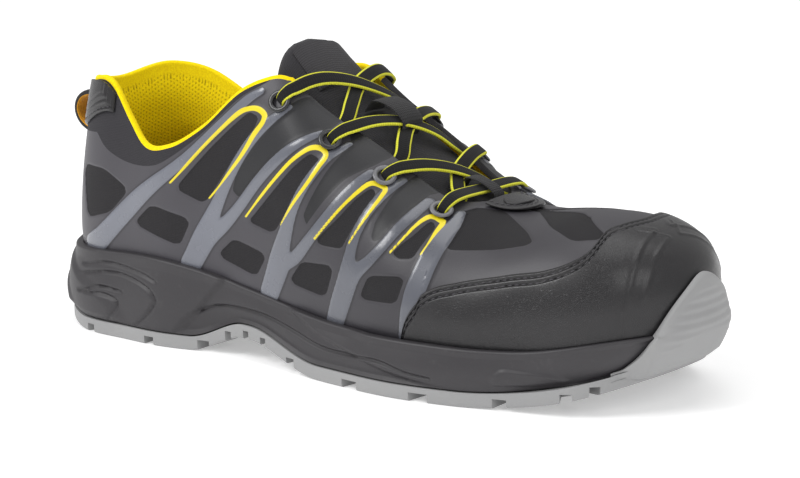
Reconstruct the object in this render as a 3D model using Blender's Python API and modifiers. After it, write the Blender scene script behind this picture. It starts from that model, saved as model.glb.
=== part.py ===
"""A low safety sneaker, right shoe, built from named pieces around one closed last.

Frame: +X points to the toe, +Y to the medial side, +Z up, and the floor is z = 0.
The last is described in plan by a spine with a fan of directions round the heel and round the
toe. Every station on it has one upright section per side, and every piece takes its shape from
those sections: the upper is a hollow wall on them, the sole unit wraps their lower edge, and the
overlays, tongue and insole are offsets of them.
"""

import math
from collections import namedtuple

import bmesh
import bpy
import numpy as np
from mathutils import Matrix, Vector

# Lengths and widths of the last, metres
LAST_LENGTH = 0.2815
HEEL_REACH = 0.036
TOE_REACH = 0.046
HEEL_WIDTH = 0.076
WAIST_WIDTH = 0.071
BALL_WIDTH = 0.102
TOE_WIDTH = 0.091
TOE_SWING = 0.011

# Heights above the floor
HEEL_SEAT = 0.0215
BALL_SEAT = 0.0125
TOE_SEAT = 0.0240
HEEL_BITE = 0.0350
WAIST_BITE = 0.0285
BALL_BITE = 0.0220
TOE_BITE = 0.0300
COLLAR_HEIGHT = 0.103
ANKLE_HEIGHT = 0.082
EYESTAY_HEIGHT = 0.118
SHIN_HEIGHT = 0.156
INSTEP_HEIGHT = 0.0910
VAMP_HEIGHT = 0.0755
TOE_HEIGHT = 0.0675
BELLY_RISE = 0.018

# Walls, gaps and paddings
GAP = 0.0003
WALL = 0.0026
COLLAR_PAD = 0.0050
PAD_DEPTH = 0.040
OVERLAY = 0.0012
INSOLE_THICKNESS = 0.0045
INSOLE_CLEARANCE = 0.0020

# Throat, eyelets and lace
THROAT_TOP_WIDTH = 0.0511
THROAT_END_WIDTH = 0.0328
THROAT_END = 0.0530
THROAT_ROUND = 0.013
CORNER_SOFT = 0.010
EYELET_ROWS = 4
EYELET_FIRST = 0.0455
EYELET_LAST = -0.0230
EYELET_INSET = 0.0106
EYELET_RADIUS = 0.0046
EYELET_HOLE = 0.0027
EYELET_FLANGE = 0.0009
EYELET_SIDES = 12
LACE_WIDTH = 0.0075
LACE_THICKNESS = 0.0018
LACE_CLEARANCE = 0.0012
LACE_TUCK = 0.0050
LACE_HEAD = 2 * GAP + EYELET_FLANGE + LACE_THICKNESS / 2 + LACE_CLEARANCE

# Tongue
TONGUE_WIDTH = 0.073
TONGUE_THICKNESS = 0.0055
TONGUE_FRONT = 0.0585
TONGUE_BACK = -0.0310
TONGUE_CLEARANCE = 0.0021

# Sole unit
OUTSOLE_THICKNESS = 0.0056
OUTSOLE_BASE = 0.0022
SOLE_FLANGE = 0.0050
RIM_THICKNESS = 0.0030
ARCH_RISE = 0.0085
TOE_SPRING = 0.0180
HEEL_BEVEL = 0.0050
SOLE_CHAMFER = 0.0010
BUMPER_THICKNESS = 0.0028
BUMPER_HEIGHT = 0.0500
BUMPER_FOOT = 0.0030
RIM_EDGE = 0.0010
SIDE_BULGE = 0.0012
SIDE_TUCK = 0.0006
GROOVE_WIDTH = 0.0045
STEP = 0.0013

# Heel tab and pull loop
TAB_LENGTH = 0.054
TAB_DEPTH = 0.022
LOOP_HEIGHT = 0.0185
LOOP_REACH = 0.0140
LOOP_WIDTH = 0.016
LOOP_THICKNESS = 0.0026
LOOP_TOP = 0.0950

# Keeper tab at the throat's end
KEEPER_LENGTH = 0.016
KEEPER_WIDTH = 0.026

LATERAL = -1
MEDIAL = 1
SIDES = (LATERAL, MEDIAL)

# Fineness: stations and rows that neighbours share, so that their facets run alike
QUARTER = 0.5523
FOOT_STEPS = 8
SIDE_STEPS = 40
HEEL_PARTS = 7
RUN_PARTS = 19
TOE_PARTS = 8
SHARED_NEAR = 0.0028
SHEET_ROWS = (0, 0.045, 0.11, 0.21, 0.34, 0.48, 0.61, 0.73, 0.84, 0.93, 1)
UNDER_SHARES = (0, 0.45, 0.80, 1)
FLOOR_SHARES = (0, 0.5, 1)
SIDE_ROWS = (0.0, 0.10, 0.24, 0.40, 0.57, 0.74, 0.90, 1.0)
CUP_ROWS = (1.0, 0.6, 0.28, 0.08)
BUMPER_ROWS = (0, 0.10, 0.24, 0.40, 0.56, 0.72, 0.87, 1)

# Plan of the spine: a quarter fan round the heel, a run forward, a quarter fan round the toe
TURN_BLEND = 0.010
HEEL_CENTRE = -LAST_LENGTH / 2 + HEEL_REACH
TOE_CENTRE = LAST_LENGTH / 2 - TOE_REACH
HEEL_END = math.pi / 2 * HEEL_REACH
TOE_START = HEEL_END + TOE_CENTRE - HEEL_CENTRE
PATH = TOE_START + math.pi / 2 * TOE_REACH


def heel_turn(degrees):
    """Station on the heel's fan, 0 at the back and 90 beside the heel's centre."""
    return HEEL_END * degrees / 90


def along(share):
    """Station on the run from the heel's centre, 0, to the toe's centre, 1."""
    return HEEL_END + share * (TOE_START - HEEL_END)


def toe_turn(degrees):
    """Station on the toe's fan, 0 beside the toe's centre and 90 at the front."""
    return TOE_START + (PATH - TOE_START) * degrees / 90


def station_at(x):
    """Station on the run at a length x of the frame."""
    return HEEL_END + x - HEEL_CENTRE


Section = namedtuple(
    "Section",
    "at width foot_lat foot_med belly_lat belly_med belly_up height top side_full top_full",
)
# foot and belly are shares of half the row's width, belly_up of BELLY_RISE, top of its height
SECTIONS = (
    Section(heel_turn(0), 2 * HEEL_REACH, 0.90, 0.90, 1.12, 1.12, 1.00, SHIN_HEIGHT, 1.00, 0.27, 0.66),
    Section(heel_turn(45), HEEL_WIDTH, 0.86, 0.86, 1.06, 1.04, 1.00, SHIN_HEIGHT, 1.00, 0.30, 0.66),
    Section(heel_turn(90), HEEL_WIDTH, 0.87, 0.86, 0.98, 0.98, 1.00, SHIN_HEIGHT, 1.00, 0.50, 0.62),
    Section(along(0.14), HEEL_WIDTH, 0.90, 0.83, 1.04, 0.97, 0.95, SHIN_HEIGHT, 0.98, 0.56, 0.64),
    Section(along(0.27), WAIST_WIDTH, 0.92, 0.80, 1.06, 0.98, 0.95, SHIN_HEIGHT, 0.92, 0.58, 0.72),
    Section(along(0.37), WAIST_WIDTH, 0.97, 0.80, 1.12, 1.02, 0.90, SHIN_HEIGHT, 0.814, 0.61, 0.89),
    Section(along(0.47), WAIST_WIDTH, 1.05, 0.88, 1.23, 1.12, 0.90, INSTEP_HEIGHT, 1.162, 0.65, 1.01),
    Section(along(0.60), BALL_WIDTH, 0.82, 0.72, 0.95, 0.88, 0.85, INSTEP_HEIGHT, 0.99, 0.54, 0.82),
    Section(along(0.74), BALL_WIDTH, 0.90, 0.83, 1.02, 0.97, 0.80, VAMP_HEIGHT, 0.935, 0.555, 0.77),
    Section(along(0.87), BALL_WIDTH, 0.88, 0.86, 0.98, 0.96, 0.80, VAMP_HEIGHT, 0.855, 0.54, 0.60),
    Section(toe_turn(0), TOE_WIDTH, 0.88, 0.89, 0.985, 0.99, 0.85, TOE_HEIGHT, 0.99, 0.63, 0.67),
    Section(toe_turn(45), TOE_WIDTH, 0.90, 0.91, 0.995, 1.005, 0.90, TOE_HEIGHT, 1.00, 0.69, 0.69),
    Section(toe_turn(90), 2 * TOE_REACH, 0.91, 0.91, 1.00, 1.00, 0.95, TOE_HEIGHT, 1.00, 0.68, 0.68),
)

CollarPoint = namedtuple("CollarPoint", "at height lateral medial")
COLLAR_LINE = (
    CollarPoint(heel_turn(0), COLLAR_HEIGHT, 0.965, 0.965),
    CollarPoint(heel_turn(45), COLLAR_HEIGHT, 1.000, 1.010),
    CollarPoint(heel_turn(84), COLLAR_HEIGHT, 0.985, 0.960),
    CollarPoint(along(0.035), ANKLE_HEIGHT, 1.090, 1.140),
    CollarPoint(along(0.075), ANKLE_HEIGHT, 0.990, 1.080),
    CollarPoint(along(0.15), ANKLE_HEIGHT, 0.990, 1.060),
    CollarPoint(along(0.22), ANKLE_HEIGHT, 1.090, 1.120),
    CollarPoint(along(0.31), EYESTAY_HEIGHT, 0.900, 0.910),
    CollarPoint(along(0.36), EYESTAY_HEIGHT, 0.950, 0.955),
    CollarPoint(along(0.44), EYESTAY_HEIGHT, 1.020, 1.020),
)

LevelPoint = namedtuple("LevelPoint", "share height value")
# share of LAST_LENGTH from the middle, and the level as a share of the named height
SEAT_LINE = (
    LevelPoint(-0.50, HEEL_SEAT, 1.03),
    LevelPoint(-0.32, HEEL_SEAT, 1.00),
    LevelPoint(-0.12, HEEL_SEAT, 0.84),
    LevelPoint(0.10, BALL_SEAT, 1.08),
    LevelPoint(0.24, BALL_SEAT, 1.00),
    LevelPoint(0.38, BALL_SEAT, 1.22),
    LevelPoint(0.50, TOE_SEAT, 1.00),
)
BITE_LINE = (
    LevelPoint(-0.50, HEEL_BITE, 0.96),
    LevelPoint(-0.40, HEEL_BITE, 0.99),
    LevelPoint(-0.28, HEEL_BITE, 1.02),
    LevelPoint(-0.12, WAIST_BITE, 1.00),
    LevelPoint(0.04, WAIST_BITE, 0.80),
    LevelPoint(0.18, BALL_BITE, 1.00),
    LevelPoint(0.32, BALL_BITE, 1.02),
    LevelPoint(0.50, TOE_BITE, 1.00),
)

FlangePoint = namedtuple("FlangePoint", "at lateral medial")
FLANGE_LINE = (
    FlangePoint(heel_turn(0), 0.75, 0.75),
    FlangePoint(heel_turn(90), 1.05, 0.95),
    FlangePoint(along(0.30), 0.48, 0.30),
    FlangePoint(along(0.55), 1.00, 0.70),
    FlangePoint(along(0.80), 1.05, 0.95),
    FlangePoint(toe_turn(10), 0.60, 0.60),
    FlangePoint(toe_turn(90), 0.45, 0.45),
)

BumperPoint = namedtuple("BumperPoint", "at level")
# level is a share of the way from the outsole's top to BUMPER_HEIGHT
BUMPER_LINE = (
    BumperPoint(toe_turn(42), 0.00),
    BumperPoint(toe_turn(53), 0.12),
    BumperPoint(toe_turn(61), 0.38),
    BumperPoint(toe_turn(68), 0.62),
    BumperPoint(toe_turn(77), 0.84),
    BumperPoint(toe_turn(90), 1.00),
)

GuardPoint = namedtuple("GuardPoint", "at share")
# top edge of the toe guard, as a share of the section from the sole to its edge or ridge
GUARD_LINE = (
    GuardPoint(along(0.745), 0.10),
    GuardPoint(along(0.765), 0.24),
    GuardPoint(along(0.80), 0.33),
    GuardPoint(along(0.86), 0.40),
    GuardPoint(along(0.95), 0.45),
    GuardPoint(toe_turn(8), 0.48),
    GuardPoint(toe_turn(20), 0.51),
    GuardPoint(toe_turn(30), 0.55),
    GuardPoint(toe_turn(44), 0.68),
    GuardPoint(toe_turn(60), 0.72),
    GuardPoint(toe_turn(90), 0.735),
)

Groove = namedtuple("Groove", "at reach slant width")
# edge notches of the tread: station, reach inwards, slant in degrees, width share
GROOVES = (
    Groove(heel_turn(40), 0.013, 45, 1.0),
    Groove(heel_turn(78), 0.015, 12, 1.0),
    Groove(along(0.15), 0.015, -8, 1.1),
    Groove(along(0.52), 0.013, 10, 1.0),
    Groove(along(0.61), 0.016, 14, 1.6),
    Groove(along(0.74), 0.017, 8, 1.4),
    Groove(along(0.86), 0.016, -6, 1.3),
    Groove(toe_turn(8), 0.014, -14, 0.9),
    Groove(toe_turn(30), 0.013, -30, 0.8),
)
# channels across the tread, as shares of LAST_LENGTH from the middle
CHANNELS_HEEL = (-0.427, -0.370, -0.313, -0.256)
CHANNELS_FORE = (0.043, 0.107, 0.171, 0.235, 0.299)
CHANNEL_SLANT = 0.22


def steady(values_at, values, at):
    """Smooth curve through table values, level at both ends."""
    x = np.asarray(values_at, float)
    y = np.asarray(values, float)
    slope = np.zeros(len(x))
    rise = np.diff(y) / np.diff(x)
    slope[1:-1] = (rise[:-1] * np.diff(x)[1:] + rise[1:] * np.diff(x)[:-1]) / (x[2:] - x[:-2])
    t = np.clip(np.asarray(at, float), x[0], x[-1])
    i = np.clip(np.searchsorted(x, t, side="right") - 1, 0, len(x) - 2)
    h = x[i + 1] - x[i]
    u = (t - x[i]) / h
    return (
        (1 + 2 * u) * (1 - u) ** 2 * y[i]
        + u * (1 - u) ** 2 * h * slope[i]
        + u * u * (3 - 2 * u) * y[i + 1]
        + u * u * (u - 1) * h * slope[i + 1]
    )


def eased(low, high, value):
    """0 below low, 1 above high, smooth between."""
    u = np.clip((np.asarray(value, float) - low) / (high - low), 0, 1)
    return u * u * (3 - 2 * u)


def level(table, x):
    """Height of a level line at length x."""
    at = [row.share * LAST_LENGTH for row in table]
    return steady(at, [row.height * row.value for row in table], x)


def seat(x):
    """Top of the midsole inside the cup, where the foot's bottom lies."""
    return level(SEAT_LINE, x)


def bite(x):
    """Top edge of the midsole against the upper."""
    return level(BITE_LINE, x)


def ground(x):
    """Underside of the tread: two flats, a raised arch, a bevelled heel and a toe spring."""
    x = np.asarray(x, float)
    half = LAST_LENGTH / 2
    arch = ARCH_RISE * eased(-0.46 * half, -0.26 * half, x) * (1 - eased(-0.24 * half, 0.05 * half, x))
    spring = TOE_SPRING * np.clip((x - 0.50 * half) / (0.54 * half), 0, None) ** 1.9
    bevel = HEEL_BEVEL * np.clip((-0.86 * half - x) / (0.16 * half), 0, None) ** 1.6
    return arch + spring + bevel


def outsole_top(x):
    """Seam between outsole and midsole."""
    return ground(x) + OUTSOLE_THICKNESS


def spine_table(samples=2400):
    """Fine table of the spine: station, centre x and y, and heading."""
    at = np.linspace(0, PATH, samples)
    heel = 1 - eased(HEEL_END - TURN_BLEND, HEEL_END + TURN_BLEND, at)
    toe = eased(TOE_START - TURN_BLEND, TOE_START + TURN_BLEND, at)
    step = at[1] - at[0]

    def run(rate):
        return np.concatenate([[0], np.cumsum((rate[1:] + rate[:-1]) / 2 * step)])

    x = HEEL_CENTRE + run(1 - heel - toe)
    heading = run(heel / HEEL_REACH + toe / TOE_REACH)
    y = TOE_SWING * (eased(HEEL_CENTRE, TOE_CENTRE, x) - 0.5)
    return at, x, y, heading * math.pi / heading[-1]


SPINE = spine_table()


def place(at, side, reach, height):
    """Point of the frame at a station, a reach from the spine and a height."""
    stations, x, y, heading = SPINE
    turn = np.interp(at, stations, heading)
    return np.stack(
        [
            np.interp(at, stations, x) - np.cos(turn) * reach,
            np.interp(at, stations, y) + side * np.sin(turn) * reach,
            height + np.zeros_like(reach),
        ],
        axis=-1,
    )


def plan_x(at, reach):
    """Length x of a point at a station and a reach."""
    stations, x, _, heading = SPINE
    return np.interp(at, stations, x) - np.cos(np.interp(at, stations, heading)) * reach


def column(name, at):
    """A column of the section table, in the frame's units, at stations."""
    if name == "top":
        # The toe's fan of sections meets in one point, so the ridge ends level where the fan starts
        ridge = [row for row in SECTIONS if row.at <= TOE_START]
        return steady([row.at for row in ridge], [row.height * row.top for row in ridge], at)
    rows = [row.at for row in SECTIONS]
    if name in ("side_full", "top_full"):
        values = [getattr(row, name) for row in SECTIONS]
    elif name == "belly_up":
        values = [BELLY_RISE * row.belly_up for row in SECTIONS]
    else:
        values = [row.width / 2 * getattr(row, name) for row in SECTIONS]
    return steady(rows, values, at)


def bezier(a, b, c, d, t):
    """Cubic curve through arrays of plane points."""
    t = t[None, :, None]
    a, b, c, d = (point[:, None, :] for point in (a, b, c, d))
    return (1 - t) ** 3 * a + 3 * (1 - t) ** 2 * t * b + 3 * (1 - t) * t * t * c + t**3 * d


def closed_sections(at, side):
    """Sections of the closed last: (n, m, 2) reach and height, from the feather to the ridge."""
    suffix = "_lat" if side == LATERAL else "_med"
    foot = column("foot" + suffix, at)
    belly = column("belly" + suffix, at)
    top = column("top", at)
    feather = seat(plan_x(at, foot)) + GAP
    waist = feather + column("belly_up", at)
    nil = np.zeros_like(foot)

    def pair(reach, height):
        return np.stack([reach, height], axis=-1)

    low = bezier(
        pair(foot, feather),
        pair(foot + QUARTER * (belly - foot), feather),
        pair(belly, waist - QUARTER * (waist - feather)),
        pair(belly, waist),
        np.linspace(0, 1, FOOT_STEPS, endpoint=False),
    )
    high = bezier(
        pair(belly, waist),
        pair(belly, waist + column("side_full", at) * (top - waist)),
        pair(column("top_full", at) * belly, top),
        pair(nil, top),
        np.linspace(0, 1, SIDE_STEPS),
    )
    return np.concatenate([low, high], axis=1)


def throat_half(at):
    """Half the throat's opening at stations, with a round end; 0 where the vamp is closed."""
    x = np.interp(at, SPINE[0], SPINE[1])
    share = np.clip((x - EYELET_LAST) / (THROAT_END - EYELET_LAST), 0, 1)
    half = (THROAT_TOP_WIDTH + share * (THROAT_END_WIDTH - THROAT_TOP_WIDTH)) / 2
    into_end = np.clip((x - THROAT_END + THROAT_ROUND) / THROAT_ROUND, 0, 1)
    return half * np.sqrt(1 - into_end**2)


def run_lengths(sections):
    """Arc length along each section."""
    steps = np.linalg.norm(np.diff(sections, axis=1), axis=2)
    return np.concatenate([np.zeros((len(sections), 1)), np.cumsum(steps, axis=1)], axis=1)


def edge_lengths(at, side, sections, lengths):
    """Arc length at which the collar line or the throat line cuts each section."""
    heights = [row.height * (row.lateral if side == LATERAL else row.medial) for row in COLLAR_LINE]
    collar = steady([row.at for row in COLLAR_LINE], heights, at)
    half = throat_half(at)
    cut = np.empty(len(at))
    for i, (section, length) in enumerate(zip(sections, lengths)):
        over = section[FOOT_STEPS:]
        throat = np.interp(half[i], over[::-1, 0], length[FOOT_STEPS:][::-1])
        rim = np.interp(collar[i], section[:, 1], length)
        if half[i] == 0:
            cut[i] = length[-1]
            continue
        # The collar line ends where it would pass over the instep
        rim = length[-1] + CORNER_SOFT if collar[i] >= section[-1, 1] else rim
        cut[i] = (throat + rim - math.hypot(throat - rim, CORNER_SOFT)) / 2
    return cut


def form(at, side, shares):
    """Points of the upper's outer form: shares run 0 at the feather to 1 at the edge or ridge.

    at is (n,), shares is (n, m); the result is (n, m, 3).
    """
    at = np.asarray(at, float)
    sections = closed_sections(at, side)
    lengths = run_lengths(sections)
    cut = edge_lengths(at, side, sections, lengths)
    wanted = np.clip(shares, 0, 1) * cut[:, None]
    reach = np.stack([np.interp(w, l, s[:, 0]) for w, l, s in zip(wanted, lengths, sections)])
    height = np.stack([np.interp(w, l, s[:, 1]) for w, l, s in zip(wanted, lengths, sections)])
    return place(at[:, None], side, reach, height)


def reach_at_height(at, side, height, outward=0.0):
    """Reach of the last, offset outward, at given heights per station; both (n, m)."""
    sections = closed_sections(at, side)
    tangent = np.gradient(sections, axis=1)
    tangent /= np.linalg.norm(tangent, axis=2, keepdims=True)
    outward = np.broadcast_to(outward, len(sections))[:, None, None]
    moved = sections + outward * np.stack([tangent[..., 1], -tangent[..., 0]], axis=-1)
    return np.stack([np.interp(h, m[:, 1], m[:, 0]) for h, m in zip(height, moved)])


def folded(at, side):
    """A station past either end continues on the other side."""
    at = np.asarray(at, float)
    over = (at < 0) | (at > PATH)
    inside = np.where(at < 0, -at, np.where(at > PATH, 2 * PATH - at, at))
    return inside, np.where(over, -side, side)


def form_any(at, side, shares):
    """form() for stations that may lie past the ends."""
    inside, sides = folded(at, side)
    found = np.empty(shares.shape + (3,))
    for one in SIDES:
        chosen = sides == one
        if chosen.any():
            found[chosen] = form(inside[chosen], one, shares[chosen])
    return found


def normals(at, side, shares):
    """Outward unit normals of form()."""
    near = 0.0008
    small = 0.012
    ahead = form_any(at + near, side, shares) - form_any(at - near, side, shares)
    up = form(at, side, np.minimum(shares + small, 1)) - form(at, side, np.maximum(shares - small, 0))
    normal = np.cross(ahead, up) * side * -1
    size = np.linalg.norm(normal, axis=-1, keepdims=True)
    flat = size[..., 0] < 1e-12
    normal = np.where(flat[..., None], (0, 0, 1), normal / np.maximum(size, 1e-12))
    ridge = (shares >= 1) & (throat_half(at) == 0)[:, None]
    normal[ridge, 1] = 0
    pole = ridge & (at >= TOE_START)[:, None]
    normal[pole] = (0, 0, 1)
    return normal / np.linalg.norm(normal, axis=-1, keepdims=True)


def offset_form(at, side, shares, outward):
    """The form moved out along its normals; outward is a number or (n, m)."""
    return form(at, side, shares) + normals(at, side, shares) * np.asarray(outward)[..., None]


def plan_stations():
    """Stations round the whole half plan, closer round the heel and the toe."""
    heel = np.linspace(0, HEEL_END, HEEL_PARTS + 1)
    run = np.linspace(HEEL_END, TOE_START, RUN_PARTS + 1)
    toe = np.linspace(TOE_START, PATH, TOE_PARTS + 1)
    return np.concatenate([heel, run[1:], toe[1:]])


def throat_stations(count=6):
    """Stations round the throat's end, close where its edge turns in."""
    turn = np.linspace(0, math.pi / 2, count)
    return station_at(THROAT_END - THROAT_ROUND + THROAT_ROUND * np.sin(turn))


def sheet_stations(start, end, extra=()):
    """Stations of a sheet on the last: the shared ones between its ends, and its own."""
    own = np.array([start, end, *throat_stations(), *extra])
    own = own[(own >= start) & (own <= end)]
    shared = plan_stations()
    far = np.min(np.abs(shared[:, None] - own[None, :]), axis=1) > SHARED_NEAR
    kept = shared[far & (shared > start) & (shared < end)]
    return np.unique(np.round(np.concatenate([own, kept]), 9))


def grid_faces(rows, columns, first=0, flip=False, outward=None):
    """Triangles of a grid of vertices laid out row by row.

    outward holds, per quad, whether its columns run outward or upward. The diagonal always joins
    the inner vertex of one station to the outer one of the next, so faces that meet are alike.
    """
    found = []
    for i in range(rows - 1):
        for j in range(columns - 1):
            a = first + i * columns + j
            b, c, d = a + columns, a + columns + 1, a + 1
            if outward is None or outward[i][j]:
                pair = ((a, b, c), (a, c, d))
            else:
                pair = ((a, b, d), (b, c, d))
            found += [face[::-1] if flip else face for face in pair]
    return found


def merged(points, faces):
    """Vertices at one place made one, and faces that shrank to a line dropped."""
    _, first, index = np.unique(np.round(points, 7), axis=0, return_index=True, return_inverse=True)
    index = index.reshape(-1)
    kept = []
    for face in faces:
        ring = [index[v] for v in face]
        ring = [v for k, v in enumerate(ring) if v != ring[k - 1]]
        if len(set(ring)) >= 3:
            kept.append(ring)
    return first, kept


def mesh_object(name, points, faces, material, collection):
    """A named object from vertices and faces, shaded smooth up to a sharp angle."""
    mesh = bpy.data.meshes.new(name)
    mesh.from_pydata([tuple(map(float, p)) for p in points], [], [tuple(map(int, f)) for f in faces])
    work = bmesh.new()
    work.from_mesh(mesh)
    bmesh.ops.remove_doubles(work, verts=work.verts, dist=1e-6)
    bmesh.ops.dissolve_degenerate(work, edges=work.edges, dist=1e-6)
    bmesh.ops.recalc_face_normals(work, faces=work.faces)
    work.to_mesh(mesh)
    work.free()
    mesh.shade_smooth()
    mesh.set_sharp_from_angle(angle=math.radians(35))
    mesh.materials.append(material)
    obj = bpy.data.objects.new(name, mesh)
    collection.objects.link(obj)
    return obj


def thick_sheet(name, outer, inner, faces, material, collection):
    """A closed solid between two copies of one sheet; its open edges get a rim."""
    first, kept = merged(outer, faces)
    count = len(first)
    points = np.concatenate([outer[first], inner[first]])
    edges = {}
    for ring in kept:
        for a, b in zip(ring, ring[1:] + ring[:1]):
            edges[(a, b)] = edges.get((a, b), 0) + 1
    solid = list(kept) + [[v + count for v in ring[::-1]] for ring in kept]
    for a, b in edges:
        if (b, a) not in edges:
            solid.append([b, a, a + count, b + count])
    return mesh_object(name, points, solid, material, collection)


def wrapped_sheet(at, low, high, outer, inner):
    """Outer and inner points and faces of a sheet on the form, over both sides.

    low and high are the share limits per side and station, outer and inner give the offsets.
    """
    points_out, points_in, faces = [], [], []
    rows = np.array(SHEET_ROWS)
    for k, side in enumerate(SIDES):
        shares = np.clip(rows[None, :], low[k][:, None], high[k][:, None])
        points_out.append(offset_form(at, side, shares, outer(at, side, shares)).reshape(-1, 3))
        points_in.append(offset_form(at, side, shares, inner(at, side, shares)).reshape(-1, 3))
        faces += grid_faces(len(at), len(rows), k * len(at) * len(rows), flip=side == LATERAL)
    return np.concatenate(points_out), np.concatenate(points_in), faces


def constant(value):
    """An offset that is the same everywhere."""
    return lambda at, side, shares: np.full(shares.shape, value)


def wall_depth(at, side, shares):
    """Inner offset of the upper: its wall, thicker where the collar is padded."""
    sections = closed_sections(at, side)
    lengths = run_lengths(sections)
    cut = edge_lengths(at, side, sections, lengths)
    below = (1 - shares) * cut[:, None]
    soft_edge = eased(-0.002, 0.012, below) * (1 - eased(PAD_DEPTH * 0.6, PAD_DEPTH, below))
    behind = 1 - eased(station_at(EYELET_LAST) - 0.022, station_at(EYELET_LAST) - 0.002, at)
    return -(WALL + COLLAR_PAD * soft_edge * behind[:, None])


def wrapped_solid(name, at, profile, material, collection):
    """A solid swept round both sides: profile gives (reach, height) from centre to centre."""
    points, faces = [], []
    for side in SIDES:
        reach, height = profile(at, side)
        start = sum(len(found) for found in points)
        points.append(place(at[:, None], side, reach, height).reshape(-1, 3))
        outward = np.diff(reach + height, axis=1) > 0
        faces += grid_faces(len(at), reach.shape[1], start, side == LATERAL, outward)
    return mesh_object(name, np.concatenate(points), faces, material, collection)


def plain_material(name, colour, roughness, metallic=0.0):
    """A plain material."""
    material = bpy.data.materials.new(name)
    material.use_nodes = True
    shader = material.node_tree.nodes["Principled BSDF"]
    shader.inputs["Base Color"].default_value = (*colour, 1)
    shader.inputs["Roughness"].default_value = roughness
    shader.inputs["Metallic"].default_value = metallic
    return material


def flange(at, side):
    """How far the sole stands out past the last at its widest."""
    values = [row.lateral if side == LATERAL else row.medial for row in FLANGE_LINE]
    return SOLE_FLANGE * steady([row.at for row in FLANGE_LINE], values, at)


def sole_reach(at, side):
    """Reach of the sole's widest line."""
    suffix = "_lat" if side == LATERAL else "_med"
    return column("belly" + suffix, at) + flange(at, side)


def lobe(along_side, height, centre, radius_along, radius_up):
    """1 inside an upright ellipse on the sole's side, 0 outside, soft at the rim."""
    distance = np.hypot((along_side - centre[0]) / radius_along, (height - centre[1]) / radius_up)
    return 1 - eased(0.90, 1.04, distance)


def side_steps(at, side, height):
    """Relief of the midsole's side: two raised lobes at the heel and a recessed arch panel."""
    at = np.broadcast_to(at[:, None], height.shape)
    lobes = lobe(at, height, (0, 0), HEEL_END * 0.62, HEEL_BITE * 0.36)
    lobes = lobes + lobe(at, height, (0, 0), HEEL_END * 1.12, HEEL_BITE * 0.62)
    start, peak, end = along(0.14), along(0.30), along(0.95)
    crest = ARCH_RISE + 0.010
    line = (crest + STEP) * eased(start, peak, at) * (1 - eased(peak, end, at)) - STEP
    under = 1 - eased(-STEP, STEP, height - line)
    return STEP * (lobes * 0.9 - 1.2 * under)


def cup_gap(at):
    """Distance from the last to the midsole's cup: a gap, and the toe guard where there is one."""
    start = GUARD_LINE[0].at
    return GAP + (OVERLAY + GAP) * eased(start - 0.024, start - 0.011, at)


def seam_height(at, side, reach):
    """Seam between outsole and midsole, straight between the shared columns; reach is (n, m)."""
    columns = sole_reach(at, side)[:, None] * np.array(UNDER_SHARES)
    heights = outsole_top(plan_x(at[:, None], columns))
    return np.stack([np.interp(r, c, h) for r, c, h in zip(reach, columns, heights)])


def floor_height(at, side, reach):
    """Top of the midsole under the foot, straight between the shared columns; reach is (n, m)."""
    suffix = "_lat" if side == LATERAL else "_med"
    columns = column("foot" + suffix, at)[:, None] * np.array(FLOOR_SHARES)
    heights = seat(plan_x(at[:, None], columns))
    return np.stack([np.interp(r, c, h) for r, c, h in zip(reach, columns, heights)])


def midsole_side(at, side):
    """Outer side of the midsole from its bottom to its rim: reaches and heights."""
    widest = sole_reach(at, side)
    foot = widest - (BUMPER_THICKNESS + GAP) * eased(along(0.95), toe_turn(20), at) - SIDE_TUCK
    bottom = seam_height(at, side, foot[:, None])[:, 0] + 2 * GAP
    edge = bite(plan_x(at, widest))
    rim = reach_at_height(at, side, edge[:, None], cup_gap(at))[:, 0]
    rim = rim + RIM_THICKNESS * (1 - 0.5 * eased(along(0.9), toe_turn(30), at))
    up = np.array(SIDE_ROWS)
    heights = bottom[:, None] + (edge - RIM_EDGE - bottom)[:, None] * up
    bulge = np.sin(math.pi * np.minimum(up * 1.15, 1))
    reach = foot[:, None] + (rim - foot)[:, None] * up**1.6
    steps = side_steps(at, side, heights - bottom[:, None]) * np.minimum(up / SIDE_ROWS[1], 1)
    return reach + SIDE_BULGE * bulge + steps, heights


def midsole_profile(at, side):
    """Midsole section: bottom, sculpted side, rim, cup wall and floor."""
    outside, heights = midsole_side(at, side)
    suffix = "_lat" if side == LATERAL else "_med"
    under = sole_reach(at, side)[:, None] * np.array(UNDER_SHARES[:-1])
    edge = heights[:, -1:] + RIM_EDGE
    base = floor_height(at, side, column("foot" + suffix, at)[:, None])
    inner = base + (edge - base) * np.array(CUP_ROWS)
    inside = reach_at_height(at, side, inner, cup_gap(at))
    foot = column("foot" + suffix, at)[:, None] * np.array(FLOOR_SHARES)[::-1]
    corner = (inside[:, -1:] + foot[:, :1]) / 2
    reach = np.concatenate([under, outside, outside[:, -1:] - RIM_EDGE, inside, corner, foot], axis=1)
    height = np.concatenate(
        [
            seam_height(at, side, under) + GAP,
            heights,
            edge,
            inner,
            base,
            floor_height(at, side, foot),
        ],
        axis=1,
    )
    return reach, height


def outsole_profile(at, side):
    """Outsole section: curved bottom with a chamfer, straight side, top at the seam."""
    edge = sole_reach(at, side)
    under = edge[:, None] * np.array(UNDER_SHARES[:-1])
    side_reach = np.stack([edge - SOLE_CHAMFER, edge, edge], axis=1)
    side_height = ground(plan_x(at, edge))[:, None] + np.array([0, SOLE_CHAMFER, OUTSOLE_THICKNESS])
    reach = np.concatenate([under, side_reach, under[:, ::-1]], axis=1)
    height = np.concatenate(
        [
            ground(plan_x(at[:, None], under)),
            side_height,
            seam_height(at, side, under[:, ::-1]),
        ],
        axis=1,
    )
    return reach, height


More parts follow.
